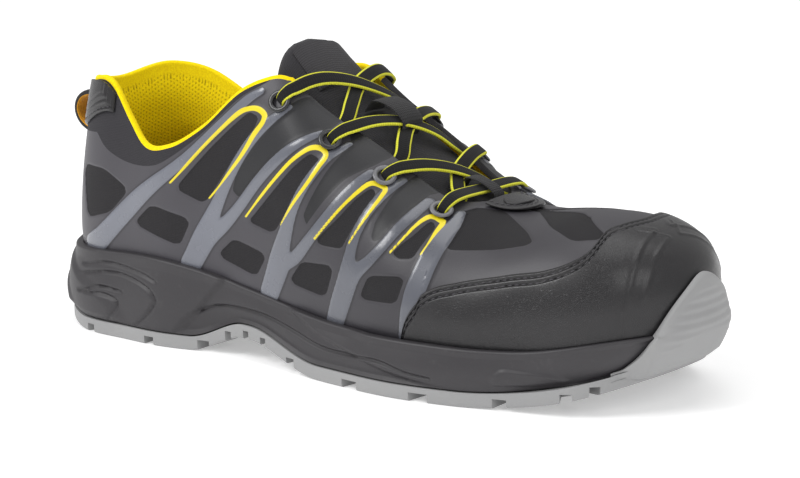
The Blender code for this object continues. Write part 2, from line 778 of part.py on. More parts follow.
def bumper_level(at):
    """Height of the bumper's top edge."""
    share = steady([row.at for row in BUMPER_LINE], [row.level for row in BUMPER_LINE], at)
    base = outsole_top(plan_x(at, column("belly_lat", at)))
    return base + share * (BUMPER_HEIGHT - base)


def neighbour_range(grid):
    """Least and greatest value among each grid point and its eight neighbours."""
    rows, columns = grid.shape
    padded = np.pad(grid, 1, mode="edge")
    near = np.stack([padded[i : i + rows, j : j + columns] for i in range(3) for j in range(3)])
    return near.min(axis=0), near.max(axis=0)


def behind_bumper(at, side, height):
    """Least reach that clears midsole and toe guard from each grid point to its neighbours."""
    outside, level_of = midsole_side(at, side)
    rim = level_of[:, -1:] + RIM_EDGE
    low, high = neighbour_range(height)
    found = reach_at_height(at, side, height, OVERLAY + GAP)
    for share in np.linspace(0, 1, 9):
        near = low + (high - low) * share
        wall = np.stack([np.interp(h, z, r) for h, z, r in zip(near, level_of, outside)])
        found = np.where(near < rim, np.maximum(wall, found), found)
    return found


def bumper_profile(at, side):
    """Bumper wall: inner and outer reaches and heights, from inside the outsole to its top."""
    foot = outsole_top(plan_x(at, sole_reach(at, side))) - BUMPER_FOOT
    top = np.maximum(bumper_level(at), foot + BUMPER_FOOT * 1.1)
    up = np.array(BUMPER_ROWS)
    height = foot[:, None] + (top - foot)[:, None] * up
    inside = behind_bumper(at, side, np.maximum(height, foot[:, None] + BUMPER_FOOT)) + 2.5 * GAP
    rise = eased(BUMPER_LINE[0].at, BUMPER_LINE[2].at, at)[:, None]
    outside = inside + BUMPER_THICKNESS * (1 - 0.45 * up**3) * (0.35 + 0.65 * rise)
    return inside, outside, height


def bumper(material, collection):
    """The toe's upstanding wall, as a ring with closed ends."""
    shared = plan_stations()
    at = np.concatenate([[BUMPER_LINE[0].at], shared[shared > BUMPER_LINE[0].at + 0.002]])
    outer, inner, faces = [], [], []
    for k, side in enumerate(SIDES):
        inside, outside, height = bumper_profile(at, side)
        outer.append(place(at[:, None], side, outside, height).reshape(-1, 3))
        inner.append(place(at[:, None], side, inside, height).reshape(-1, 3))
        faces += grid_faces(len(at), height.shape[1], k * height.size, flip=side == LATERAL)
    return thick_sheet(
        "bumper_wall", np.concatenate(outer), np.concatenate(inner), faces, material, collection
    )


def boolean(target, cutter, operation):
    """A Boolean modifier of target with cutter."""
    modifier = target.modifiers.new(f"{operation.lower()}_{cutter.name}", "BOOLEAN")
    modifier.operation = operation
    modifier.object = cutter
    modifier.solver = "EXACT"


def helper(obj):
    """Hides a cutter or a guide."""
    obj.hide_render = True
    obj.display_type = "WIRE"
    return obj


def box_cutter(name, size, location, turn, collection):
    """A box that cuts, turned about Z."""
    mesh = bpy.data.meshes.new(name)
    work = bmesh.new()
    bmesh.ops.create_cube(work, size=1, matrix=Matrix.Diagonal((*size, 1)))
    work.to_mesh(mesh)
    work.free()
    obj = bpy.data.objects.new(name, mesh)
    obj.location = location
    obj.rotation_euler.z = turn
    collection.objects.link(obj)
    return helper(obj)


def joined_cutter(name, cutters, collection):
    """Separate boxes as one cutting mesh."""
    work = bmesh.new()
    bpy.context.view_layer.update()
    for cutter in cutters:
        piece = cutter.data.copy()
        piece.transform(cutter.matrix_world)
        work.from_mesh(piece)
        bpy.data.meshes.remove(piece)
        bpy.data.objects.remove(cutter)
    mesh = bpy.data.meshes.new(name)
    work.to_mesh(mesh)
    work.free()
    obj = bpy.data.objects.new(name, mesh)
    collection.objects.link(obj)
    return helper(obj)


def tread_cutter(collection):
    """Edge notches on both sides and short channels under heel and forefoot."""
    depth = OUTSOLE_THICKNESS - OUTSOLE_BASE
    cutters = []
    for side in SIDES:
        for groove in GROOVES:
            at = np.array([groove.at])
            edge = sole_reach(at, side)
            outer = place(at, side, edge, np.zeros(1))[0]
            inner = place(at, side, edge - groove.reach, np.zeros(1))[0]
            middle = (outer + inner) / 2
            direction = math.atan2(outer[1] - inner[1], outer[0] - inner[0])
            low = float(ground(plan_x(at, edge))[0])
            size = (groove.reach + 0.006, GROOVE_WIDTH * groove.width, 2 * depth)
            turn = direction + side * math.radians(groove.slant) * 0.5
            location = (middle[0], middle[1], low)
            cutters.append(box_cutter("groove", size, location, turn, collection))
    for share in CHANNELS_HEEL + CHANNELS_FORE:
        x = share * LAST_LENGTH
        wide = HEEL_WIDTH * 0.42 if share < 0 else BALL_WIDTH * 0.40
        size = (GROOVE_WIDTH * 0.7, wide, 2 * depth)
        swing = float(np.interp(x, SPINE[1], SPINE[2]))
        turn = math.copysign(CHANNEL_SLANT, -share)
        cutters.append(box_cutter("channel", size, (x, swing, float(ground(x))), turn, collection))
    return joined_cutter("tread_cutter", cutters, collection)


def make_outsole(material, parts, cutters):
    """Outsole slab with the toe bumper joined on and the tread cut in."""
    outsole = wrapped_solid("outsole", plan_stations(), outsole_profile, material, parts)
    wall = helper(bumper(material, cutters))
    boolean(outsole, wall, "UNION")
    boolean(outsole, tread_cutter(cutters), "DIFFERENCE")
    return outsole


def make_midsole(material, parts):
    """Midsole cup."""
    return wrapped_solid("midsole", plan_stations(), midsole_profile, material, parts)


def make_upper(material, parts):
    """The hollow upper, open underneath, at the collar and at the throat."""
    at = sheet_stations(0, PATH, extra=[along(0.025)])
    low = np.zeros((2, len(at)))
    outer, inner, faces = wrapped_sheet(at, low, low + 1, constant(0.0), wall_depth)
    return thick_sheet("upper", outer, inner, faces, material, parts)


def guard_share(at):
    """Top edge of the toe guard as a share of the section."""
    return steady([row.at for row in GUARD_LINE], [row.share for row in GUARD_LINE], at)


def make_toe_guard(material, parts):
    """Toe guard: an overlay from the sole's edge up over the toe."""
    at = sheet_stations(GUARD_LINE[0].at, PATH, extra=[row.at for row in GUARD_LINE[1:4]])
    bottom = feather_share(at)
    high = np.stack([np.maximum(guard_share(at), b + 0.02) for b in bottom])
    return thick_sheet(
        "toe_guard",
        *wrapped_sheet(at, bottom, high, constant(GAP + OVERLAY), constant(GAP)),
        material,
        parts,
    )


def feather_share(at):
    """Share of the section at which overlays start, just above the cup's floor, per side."""
    found = []
    for side in SIDES:
        sections = closed_sections(at, side)
        lengths = run_lengths(sections)
        cut = edge_lengths(at, side, sections, lengths)
        rise = 0.55 * (bite(plan_x(at, sections[:, 0, 0])) - sections[:, 0, 1])
        start = [np.interp(s[0, 1] + r, s[:, 1], l) for s, l, r in zip(sections, lengths, rise)]
        found.append(np.array(start) / cut)
    return np.stack(found)


def make_heel_tab(material, parts):
    """Heel tab: an overlay under the collar's back."""
    at = sheet_stations(0, TAB_LENGTH)
    lows = []
    for side in SIDES:
        sections = closed_sections(at, side)
        cut = edge_lengths(at, side, sections, run_lengths(sections))
        depth = TAB_DEPTH * np.sqrt(1 - (at / TAB_LENGTH) ** 2 * 0.85)
        lows.append(1 - depth / cut)
    low = np.stack(lows)
    return thick_sheet(
        "heel_tab",
        *wrapped_sheet(at, low, np.full_like(low, 0.985), constant(GAP + OVERLAY), constant(GAP)),
        material,
        parts,
    )


def make_insole(material, parts):
    """Insole inside the upper, on the midsole."""

    def profile(at, side):
        suffix = "_lat" if side == LATERAL else "_med"
        foot = column("foot" + suffix, at)
        under = foot[:, None] * np.array(FLOOR_SHARES)
        under[:, -1] -= INSOLE_CLEARANCE
        base = floor_height(at, side, under) + GAP
        reach = np.concatenate([under, under[:, ::-1]], axis=1)
        return reach, np.concatenate([base, base[:, ::-1] + INSOLE_THICKNESS], axis=1)

    return wrapped_solid("insole", plan_stations(), profile, material, parts)


def ridge_point(x, across):
    """Point of the closed instep at length x, an arc across from its ridge to the medial side."""
    side = LATERAL if across < 0 else MEDIAL
    at = np.array([station_at(x)])
    section = closed_sections(at, side)
    length = run_lengths(section)[0]
    wanted = length[-1] - abs(across)
    reach = np.interp(wanted, length, section[0, :, 0])
    height = np.interp(wanted, length, section[0, :, 1])
    return place(at, side, np.array([reach]), np.array([height]))[0]


def instep_point(x, across, lift):
    """Point a lift above the closed instep, and the normal there."""
    near = 0.0010
    ahead = ridge_point(x + near, across) - ridge_point(x - near, across)
    beside = ridge_point(x, across + near) - ridge_point(x, across - near)
    normal = np.cross(ahead, beside)
    normal /= np.linalg.norm(normal)
    return ridge_point(x, across) + normal * lift, normal


def instep_sheet(name, lengths, halves, columns, low, high, material, parts, thin_edge=0.0):
    """A sheet over the instep: a row per length, lifts from low to high, thinner at its edges."""
    spread = np.linspace(-1, 1, columns)
    outer, inner = [], []
    for x, half in zip(lengths, halves):
        top = np.array([instep_point(x, half * share, high)[0] for share in spread])
        under = np.array([instep_point(x, half * share, low)[0] for share in spread])
        keep = 1 - thin_edge * np.abs(spread) ** 4
        outer.append(top)
        inner.append(top + (under - top) * keep[:, None])
    faces = grid_faces(len(lengths), columns)
    return thick_sheet(name, np.concatenate(outer), np.concatenate(inner), faces, material, parts)


def make_tongue(material, parts):
    """Padded tongue under the eyestays, rising past them along the shin."""
    lengths = np.linspace(TONGUE_FRONT, TONGUE_BACK, 15)
    share = np.linspace(0, 1, len(lengths))
    halves = TONGUE_WIDTH / 2 * (0.62 + 0.38 * eased(0, 0.55, share))
    halves = halves * np.sqrt(1 - 0.55 * eased(0.86, 1.0, share) ** 2)
    top = -(WALL + TONGUE_CLEARANCE)
    return instep_sheet(
        "tongue", lengths, halves, 9, top - TONGUE_THICKNESS, top, material, parts, thin_edge=0.35
    )


def eyelet_spot(row, side):
    """Point on the form and outward normal for an eyelet; row 0 is the one by the toe."""
    share = row / (EYELET_ROWS - 1)
    at = np.array([station_at(EYELET_FIRST + share * (EYELET_LAST - EYELET_FIRST))])
    sections = closed_sections(at, side)
    cut = edge_lengths(at, side, sections, run_lengths(sections))
    shares = np.array([[1 - EYELET_INSET / cut[0]]])
    return form(at, side, shares)[0, 0], normals(at, side, shares)[0, 0]


def aimed(point, normal):
    """Matrix that stands +Z on a point along a normal."""
    turn = Vector(normal).to_track_quat("Z", "Y").to_matrix().to_4x4()
    return Matrix.Translation(Vector(point)) @ turn


def turned(name, profile, steps, matrix, material, collection):
    """A turned ring from a closed profile of (radius, height), outer side first."""
    mesh = bpy.data.meshes.new(name)
    points = [(r, 0, z) for r, z in profile]
    edges = [(k, (k + 1) % len(points)) for k in range(len(points))]
    mesh.from_pydata(points, edges, [])
    obj = bpy.data.objects.new(name, mesh)
    screw = obj.modifiers.new("turn", "SCREW")
    screw.steps = screw.render_steps = steps
    screw.use_merge_vertices = True
    screw.merge_threshold = 1e-6
    mesh.materials.append(material)
    obj.matrix_world = matrix
    collection.objects.link(obj)
    return obj


def make_eyelets(upper, material, parts, cutters):
    """Eyelet rings on both eyestays, each set in its hole."""
    holes = []
    for side in SIDES:
        for row in range(EYELET_ROWS):
            point, normal = eyelet_spot(row, side)
            matrix = aimed(point, normal)
            mesh = bpy.data.meshes.new("hole")
            work = bmesh.new()
            bmesh.ops.create_cone(
                work,
                cap_ends=True,
                segments=EYELET_SIDES,
                radius1=EYELET_HOLE + 2 * GAP + EYELET_FLANGE * 0.6,
                radius2=EYELET_HOLE + 2 * GAP + EYELET_FLANGE * 0.6,
                depth=0.020,
                matrix=matrix,
            )
            work.to_mesh(mesh)
            work.free()
            hole = bpy.data.objects.new("hole", mesh)
            cutters.objects.link(hole)
            holes.append(hole)
            name = f"eyelet_{'lateral' if side == LATERAL else 'medial'}_{row + 1}"
            barrel = EYELET_HOLE + EYELET_FLANGE * 0.6
            low, seat_height, top = -WALL, GAP + 0.0004, GAP + 0.0004 + EYELET_FLANGE
            profile = [
                (EYELET_RADIUS, seat_height),
                (barrel, seat_height),
                (barrel, low),
                (EYELET_HOLE, low),
                (EYELET_HOLE, top),
                (EYELET_RADIUS - 0.0006, top),
            ]
            turned(name, profile, EYELET_SIDES, matrix, material, parts)
    boolean(upper, joined_cutter("eyelet_holes", holes, cutters), "DIFFERENCE")


def lace_ribbon(points, ups, cap):
    """A flat ribbon with an oval section along points, as a bmesh; cap closes its ends."""
    work = bmesh.new()
    turn = np.linspace(0, 2 * math.pi, 8, endpoint=False) + math.pi / 8
    ring_y = np.cos(turn) * LACE_WIDTH / 2 / math.cos(math.pi / 8)
    ring_z = np.sin(turn) * LACE_THICKNESS / 2 / math.cos(math.pi / 8)
    rings = []
    tangents = np.gradient(points, axis=0)
    for point, tangent, up in zip(points, tangents, ups):
        tangent = Vector(tangent).normalized()
        across = tangent.cross(Vector(up)).normalized()
        lift = across.cross(tangent).normalized()
        centre = Vector(point)
        rings.append([work.verts.new(centre + across * y + lift * z) for y, z in zip(ring_y, ring_z)])
    for a, b in zip(rings, rings[1:]):
        for k in range(8):
            work.faces.new((a[k], a[(k + 1) % 8], b[(k + 1) % 8], b[k]))
    if cap:
        work.faces.new(rings[0][::-1])
        work.faces.new(rings[-1])
    bmesh.ops.recalc_face_normals(work, faces=work.faces)
    return work


def eyelet_length(row):
    """Length x of an eyelet row."""
    return EYELET_FIRST + row / (EYELET_ROWS - 1) * (EYELET_LAST - EYELET_FIRST)


def throat_across(x, side):
    """Arc from the ridge to the throat's edge beside length x."""
    at = np.array([station_at(x)])
    sections = closed_sections(at, side)
    lengths = run_lengths(sections)
    return lengths[0, -1] - edge_lengths(at, side, sections, lengths)[0]


def steady_open(values_at, values, at):
    """Smooth curve through values with free ends."""
    x = np.asarray(values_at, float)
    y = np.asarray(values, float)
    slope = np.gradient(y, x)
    i = np.clip(np.searchsorted(x, at, side="right") - 1, 0, len(x) - 2)
    h = x[i + 1] - x[i]
    u = (at - x[i]) / h
    return (
        (1 + 2 * u) * (1 - u) ** 2 * y[i]
        + u * (1 - u) ** 2 * h * slope[i]
        + u * u * (3 - 2 * u) * y[i + 1]
        + u * u * (u - 1) * h * slope[i + 1]
    )


def laid_ribbon(lengths, arcs, lifts, count):
    """Ribbon path over the instep through points given by length, arc across and lift."""
    knots = np.linspace(0, 1, len(lengths))
    t = np.linspace(0, 1, count)
    route = zip(*(steady_open(knots, values, t) for values in (lengths, arcs, lifts)))
    found = [instep_point(x, across, lift) for x, across, lift in route]
    return np.array([point for point, _ in found]), np.array([normal for _, normal in found])


def lace_run(row, side, centre_lift):
    """Ribbon from above an eyelet, over its eyestay's edge, to the far edge by the next row."""
    start, end = eyelet_length(row), eyelet_length(row - 1)
    near, far = throat_across(start, side), throat_across(end, -side)
    lengths = [start, start * 0.82 + end * 0.18, (start + end) / 2, end]
    arcs = [side * (near + EYELET_INSET), side * near, 0, -side * (far - LACE_TUCK)]
    lifts = [LACE_HEAD, LACE_HEAD - GAP, centre_lift, -LACE_THICKNESS / 2]
    return laid_ribbon(lengths, arcs, lifts, 9)


def ribbon_object(name, path, material, collection):
    """A ribbon as an object."""
    work = lace_ribbon(*path, cap=True)
    mesh = bpy.data.meshes.new(name)
    work.to_mesh(mesh)
    work.free()
    mesh.materials.append(material)
    obj = bpy.data.objects.new(name, mesh)
    collection.objects.link(obj)
    return obj


def make_laces(material, parts, cutters):
    """Three crossings of the lace and the straight bar by the toe."""
    for row in range(EYELET_ROWS - 1, 0, -1):
        number = EYELET_ROWS - row
        over = lace_run(row, LATERAL, LACE_THICKNESS * 1.1)
        under = lace_run(row, MEDIAL, LACE_THICKNESS * 0.4)
        crossing = ribbon_object(f"lace_cross_{number}", over, material, parts)
        below = ribbon_object(f"lace_under_{number}", under, material, cutters)
        boolean(crossing, helper(below), "UNION")
    half = throat_across(EYELET_FIRST, LATERAL)
    arcs = [-half - EYELET_INSET, -half, 0, half, half + EYELET_INSET]
    lifts = [LACE_HEAD, LACE_HEAD - GAP, LACE_THICKNESS, LACE_HEAD - GAP, LACE_HEAD]
    ribbon_object("lace_bar", laid_ribbon([EYELET_FIRST] * 5, arcs, lifts, 10), material, parts)


def make_pull_loop(material, parts):
    """Webbing loop behind the heel, as a flat outline with thickness across."""
    low = LOOP_TOP - LOOP_HEIGHT
    back = []
    for height in (LOOP_TOP, low):
        reach = reach_at_height(np.zeros(1), MEDIAL, np.array([[height]]), OVERLAY + 3 * GAP)[0, 0]
        back.append(place(np.zeros(1), MEDIAL, np.array([reach]), np.array([height]))[0])
    top, bottom = Vector(back[0]), Vector(back[1])
    centre = (top + bottom) / 2
    down = (bottom - top).normalized()
    out = Vector((down.z, 0, -down.x))
    out = out if out.x < 0 else -out
    half = (bottom - top).length / 2
    outline = []
    for size, turns in ((1.0, np.linspace(0, 1, 17)), (0.0, np.linspace(1, 0, 17))):
        for turn in turns:
            angle = math.pi * turn
            along_back = -math.cos(angle) * (half - (0 if size else LOOP_THICKNESS))
            away = math.sin(angle) ** 0.8 * (LOOP_REACH - (0 if size else LOOP_THICKNESS))
            foot = LOOP_THICKNESS * 0.9 if not size else 0
            point = centre + down * along_back + out * max(away, foot)
            outline.append((point.x, point.z))
    count = len(outline)
    width = LOOP_WIDTH / 2
    spine_y = float(SPINE[2][0])
    points = [(x, spine_y + s * width, z) for s in (-1, 1) for x, z in outline]
    n = count // 2
    faces = []
    for k in range(n - 1):
        a, b = k, count - 1 - k
        quad = (a, a + 1, b - 1, b)
        faces.append(quad)
        faces.append(tuple(v + count for v in quad[::-1]))
    ring = list(range(count))
    for a, b in zip(ring, ring[1:] + ring[:1]):
        faces.append((a, b, b + count, a + count))
    return mesh_object("pull_loop", points, faces, material, parts)


def make_keeper(material, parts):
    """Small stitched tab at the throat's end."""
    share = np.linspace(0, 1, 8)
    lengths = THROAT_END + 0.0015 + KEEPER_LENGTH * share
    halves = KEEPER_WIDTH / 2 * np.sqrt(1 - (share * 0.98) ** 2.4)
    low = 2.5 * GAP
    return instep_sheet("keeper_tab", lengths, halves, 7, low, low + OVERLAY, material, parts)


def centred(parts):
    """Moves every piece so that the origin is under the middle of the whole shoe."""
    bpy.context.view_layer.update()
    graph = bpy.context.evaluated_depsgraph_get()
    corners = []
    for obj in parts.objects:
        shown = obj.evaluated_get(graph)
        corners += [shown.matrix_world @ Vector(corner) for corner in shown.bound_box]
    low = [min(c[k] for c in corners) for k in range(3)]
    high = [max(c[k] for c in corners) for k in range(3)]
    return Vector((-(low[0] + high[0]) / 2, -(low[1] + high[1]) / 2, -low[2]))


def main():
    for obj in list(bpy.data.objects):
        bpy.data.objects.remove(obj)
    parts = bpy.data.collections.new("safety_sneaker")
    cutters = bpy.data.collections.new("cutters")
    for collection in (parts, cutters):
        bpy.context.scene.collection.children.link(collection)

    rubber = plain_material("outsole_rubber", (0.40, 0.40, 0.40), 0.60)
    foam = plain_material("midsole_foam", (0.062, 0.060, 0.064), 0.62)
    film = plain_material("upper_film", (0.055, 0.053, 0.058), 0.50)
    leather = plain_material("smooth_leather", (0.020, 0.019, 0.020), 0.42)
    cloth = plain_material("tongue_cloth", (0.022, 0.021, 0.024), 0.85)
    lining = plain_material("lining_mesh", (0.80, 0.64, 0.01), 0.85)
    cord = plain_material("lace_braid", (0.018, 0.017, 0.018), 0.80)
    ring = plain_material("eyelet_plastic", (0.05, 0.05, 0.055), 0.40)
    webbing = plain_material("loop_webbing", (0.015, 0.015, 0.016), 0.80)

    make_outsole(rubber, parts, cutters)
    make_midsole(foam, parts)
    upper = make_upper(film, parts)
    make_eyelets(upper, ring, parts, cutters)
    make_toe_guard(leather, parts)
    make_heel_tab(leather, parts)
    make_tongue(cloth, parts)
    make_insole(lining, parts)
    make_laces(cord, parts, cutters)
    make_pull_loop(webbing, parts)
    make_keeper(leather, parts)

    shift = Matrix.Translation(centred(parts))
    for collection in (parts, cutters):
        for obj in collection.objects:
            obj.matrix_world = shift @ obj.matrix_world


main()
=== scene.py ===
"""Looks of the low safety sneaker: every visible surface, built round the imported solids.

The closed last of the solids' source is repeated here, and every skin is an offset of it. The side's
pattern is set out on the photograph, landed on the last and then kept as distances on the surface.
"""

import logging
import math
from dataclasses import dataclass, field
from enum import Enum, IntEnum
from typing import Callable, NamedTuple, Sequence

import bmesh
import bpy
import numpy as np
from mathutils import Matrix, Vector
from mathutils.bvhtree import BVHTree

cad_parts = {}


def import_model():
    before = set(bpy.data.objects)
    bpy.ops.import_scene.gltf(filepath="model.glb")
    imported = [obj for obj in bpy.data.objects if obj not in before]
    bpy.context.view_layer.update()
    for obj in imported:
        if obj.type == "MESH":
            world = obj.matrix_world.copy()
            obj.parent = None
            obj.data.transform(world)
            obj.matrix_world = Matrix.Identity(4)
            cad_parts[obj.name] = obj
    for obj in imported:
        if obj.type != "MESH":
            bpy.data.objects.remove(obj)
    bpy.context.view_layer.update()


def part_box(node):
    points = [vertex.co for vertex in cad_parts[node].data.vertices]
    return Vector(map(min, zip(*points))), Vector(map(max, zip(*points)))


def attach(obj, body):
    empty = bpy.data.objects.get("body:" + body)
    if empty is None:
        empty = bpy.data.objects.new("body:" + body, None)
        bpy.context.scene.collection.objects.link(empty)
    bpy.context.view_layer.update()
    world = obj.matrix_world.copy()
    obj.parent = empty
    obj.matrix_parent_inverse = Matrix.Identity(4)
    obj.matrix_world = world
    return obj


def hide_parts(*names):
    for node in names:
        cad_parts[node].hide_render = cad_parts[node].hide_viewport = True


LOG = logging.getLogger("safety_sneaker")
BODY = "root"
MM_PER_M = 1000
Array = np.ndarray
Socket = bpy.types.NodeSocket
Object = bpy.types.Object
Material = bpy.types.Material
Pixels = list[tuple[float, float, float]]
Corners = list[tuple[float, float]]


class Side(IntEnum):
    """Sign of y on each side of the shoe."""

    LATERAL = -1
    MEDIAL = 1


SIDES = (Side.LATERAL, Side.MEDIAL)


def steady(knots: Sequence[float], values: Sequence[float], at: Array) -> Array:
    """Smooth curve through table values, level at both ends.

    Args:
        knots: places of the values, rising.
        values: a value at each knot.
        at: places wanted.

    Returns:
        The curve at those places.
    """
    x = np.asarray(knots, float)
    y = np.asarray(values, float)
    slope = np.zeros(len(x))
    rise = np.diff(y) / np.diff(x)
    slope[1:-1] = (rise[:-1] * np.diff(x)[1:] + rise[1:] * np.diff(x)[:-1]) / (x[2:] - x[:-2])
    t = np.clip(np.asarray(at, float), x[0], x[-1])
    i = np.clip(np.searchsorted(x, t, side="right") - 1, 0, len(x) - 2)
    h = x[i + 1] - x[i]
    u = (t - x[i]) / h
    return (
        (1 + 2 * u) * (1 - u) ** 2 * y[i]
        + u * (1 - u) ** 2 * h * slope[i]
        + u * u * (3 - 2 * u) * y[i + 1]
        + u * u * (u - 1) * h * slope[i + 1]
    )


def eased(low: float, high: float, value: Array | float) -> Array:
    """0 below low, 1 above high, smooth between."""
    u = np.clip((np.asarray(value, float) - low) / (high - low), 0, 1)
    return u * u * (3 - 2 * u)


def column_at(rows: Sequence[Sequence[float]], column: int, at: Array) -> Array:
    """A column of a table whose first column is the station, at stations."""
    return steady([row[0] for row in rows], [row[column] for row in rows], at)


def per_row(at: Array, like: Array) -> Array:
    """One value per row, repeated over the columns of another array."""
    return np.broadcast_to(at[:, None], like.shape)


def squared(values: Array, power: float) -> Array:
    """Sines or cosines pulled outward, which squares an oval off."""
    return np.copysign(np.abs(values) ** power, values)


def unit(vectors: Array, least: float = 0.0) -> Array:
    """Vectors of length 1 along the last axis."""
    size = np.linalg.norm(vectors, axis=-1, keepdims=True)
    return vectors / np.maximum(size, least) if least else vectors / size


def table(rows: object) -> object:
    """A dataclass field whose value is a table."""
    return field(default_factory=lambda: rows)


def bezier(a: Array, b: Array, c: Array, d: Array, t: Array) -> Array:
    """Cubic curves through arrays of plane points, (n, len(t), 2)."""
    t = t[None, :, None]
    a, b, c, d = (point[:, None, :] for point in (a, b, c, d))
    return (1 - t) ** 3 * a + 3 * (1 - t) ** 2 * t * b + 3 * (1 - t) * t * t * c + t**3 * d


class Section(NamedTuple):
    """Half section of the last; foot and belly are shares of half the width."""

    at: float
    width: float
    foot_lat: float
    foot_med: float
    belly_lat: float
    belly_med: float
    belly_up: float
    height: float
    top: float
    side_full: float
    top_full: float


class Level(NamedTuple):
    """Point of a level line: share of the length from the middle, named height and share of it."""

    share: float
    height: float
    value: float


@dataclass
class Last:
    """The closed last, as in the solids' source.

    Stations run from the back, 0, to the front, path. A share runs from the feather, 0, up the
    section to the collar's or throat's edge, or to the ridge where the vamp is closed.
    """

    length: float = 0.2815
    heel_reach: float = 0.036
    toe_reach: float = 0.046
    heel_width: float = 0.076
    waist_width: float = 0.071
    ball_width: float = 0.102
    toe_width: float = 0.091
    toe_swing: float = 0.011
    heel_seat: float = 0.0215
    ball_seat: float = 0.0125
    toe_seat: float = 0.0240
    heel_bite: float = 0.0350
    waist_bite: float = 0.0285
    ball_bite: float = 0.0220
    toe_bite: float = 0.0300
    collar_height: float = 0.103
    ankle_height: float = 0.082
    eyestay_height: float = 0.118
    shin_height: float = 0.156
    instep_height: float = 0.0910
    vamp_height: float = 0.0755
    toe_height: float = 0.0675
    belly_rise: float = 0.018
    gap: float = 0.0003
    throat_top: float = 0.0511
    throat_low: float = 0.0328
    throat_end: float = 0.0530
    throat_round: float = 0.013
    eyelet_first: float = 0.0455
    eyelet_last: float = -0.0230
    eyelet_inset: float = 0.0106
    eyelet_rows: int = 4
    corner_soft: float = 0.010
    turn_blend: float = 0.010
    quarter: float = 0.5523
    foot_steps: int = 10
    side_steps: int = 60
    wall: float = 0.0026
    collar_pad: float = 0.0050
    pad_depth: float = 0.040
    overlay: float = 0.0012
    shift: tuple[float, float] = (0.0, 0.0)

    def __post_init__(self) -> None:
        """Works out the plan, the spine and the tables."""
        self.heel_centre = -self.length / 2 + self.heel_reach
        self.toe_centre = self.length / 2 - self.toe_reach
        self.heel_end = math.pi / 2 * self.heel_reach
        self.toe_start = self.heel_end + self.toe_centre - self.heel_centre
        self.path = self.toe_start + math.pi / 2 * self.toe_reach
        self.spine = self._spine(2400)
        self.sections = self._sections()
        self.collar = self._collar()
        heel, ball, toe = self.heel_seat, self.ball_seat, self.toe_seat
        seats = ((-0.50, heel, 1.03), (-0.32, heel, 1.0), (-0.12, heel, 0.84), (0.10, ball, 1.08))
        seats += ((0.24, ball, 1.0), (0.38, ball, 1.22), (0.50, toe, 1.0))
        self.seat_line = [Level(*row) for row in seats]
        heel, waist, ball, toe = self.heel_bite, self.waist_bite, self.ball_bite, self.toe_bite
        bites = ((-0.50, heel, 0.96), (-0.40, heel, 0.99), (-0.28, heel, 1.02), (-0.12, waist, 1.0))
        bites += ((0.04, waist, 0.80), (0.18, ball, 1.0), (0.32, ball, 1.02), (0.50, toe, 1.0))
        self.bite_line = [Level(*row) for row in bites]

    def heel_turn(self, degrees: float) -> float:
        """Station on the heel's fan, 0 at the back and 90 beside its centre."""
        return self.heel_end * degrees / 90

    def along(self, share: float) -> float:
        """Station on the run between the heel's and the toe's centre."""
        return self.heel_end + share * (self.toe_start - self.heel_end)

    def toe_turn(self, degrees: float) -> float:
        """Station on the toe's fan, 0 beside its centre and 90 at the front."""
        return self.toe_start + (self.path - self.toe_start) * degrees / 90

    def station_at(self, x: Array | float) -> Array | float:
        """Station on the run at a length x."""
        return self.heel_end + x - self.heel_centre

    def _sections(self) -> list[Section]:
        """The section table."""
        heel, waist, ball, toe = self.heel_width, self.waist_width, self.ball_width, self.toe_width
        shin, instep, vamp, cap = self.shin_height, self.instep_height, self.vamp_height, self.toe_height
        turn, run, front = self.heel_turn, self.along, self.toe_turn
        back = 2 * self.heel_reach
        nose = 2 * self.toe_reach
        return [
            Section(turn(0), back, 0.90, 0.90, 1.12, 1.12, 1.00, shin, 1.00, 0.27, 0.66),
            Section(turn(45), heel, 0.86, 0.86, 1.06, 1.04, 1.00, shin, 1.00, 0.30, 0.66),
            Section(turn(90), heel, 0.87, 0.86, 0.98, 0.98, 1.00, shin, 1.00, 0.50, 0.62),
            Section(run(0.14), heel, 0.90, 0.83, 1.04, 0.97, 0.95, shin, 0.98, 0.56, 0.64),
            Section(run(0.27), waist, 0.92, 0.80, 1.06, 0.98, 0.95, shin, 0.92, 0.58, 0.72),
            Section(run(0.37), waist, 0.97, 0.80, 1.12, 1.02, 0.90, shin, 0.814, 0.61, 0.89),
            Section(run(0.47), waist, 1.05, 0.88, 1.23, 1.12, 0.90, instep, 1.162, 0.65, 1.01),
            Section(run(0.60), ball, 0.82, 0.72, 0.95, 0.88, 0.85, instep, 0.99, 0.54, 0.82),
            Section(run(0.74), ball, 0.90, 0.83, 1.02, 0.97, 0.80, vamp, 0.935, 0.555, 0.77),
            Section(run(0.87), ball, 0.88, 0.86, 0.98, 0.96, 0.80, vamp, 0.855, 0.54, 0.60),
            Section(front(0), toe, 0.88, 0.89, 0.985, 0.99, 0.85, cap, 0.99, 0.63, 0.67),
            Section(front(45), toe, 0.90, 0.91, 0.995, 1.005, 0.90, cap, 1.00, 0.69, 0.69),
            Section(front(90), nose, 0.91, 0.91, 1.00, 1.00, 0.95, cap, 1.00, 0.68, 0.68),
        ]

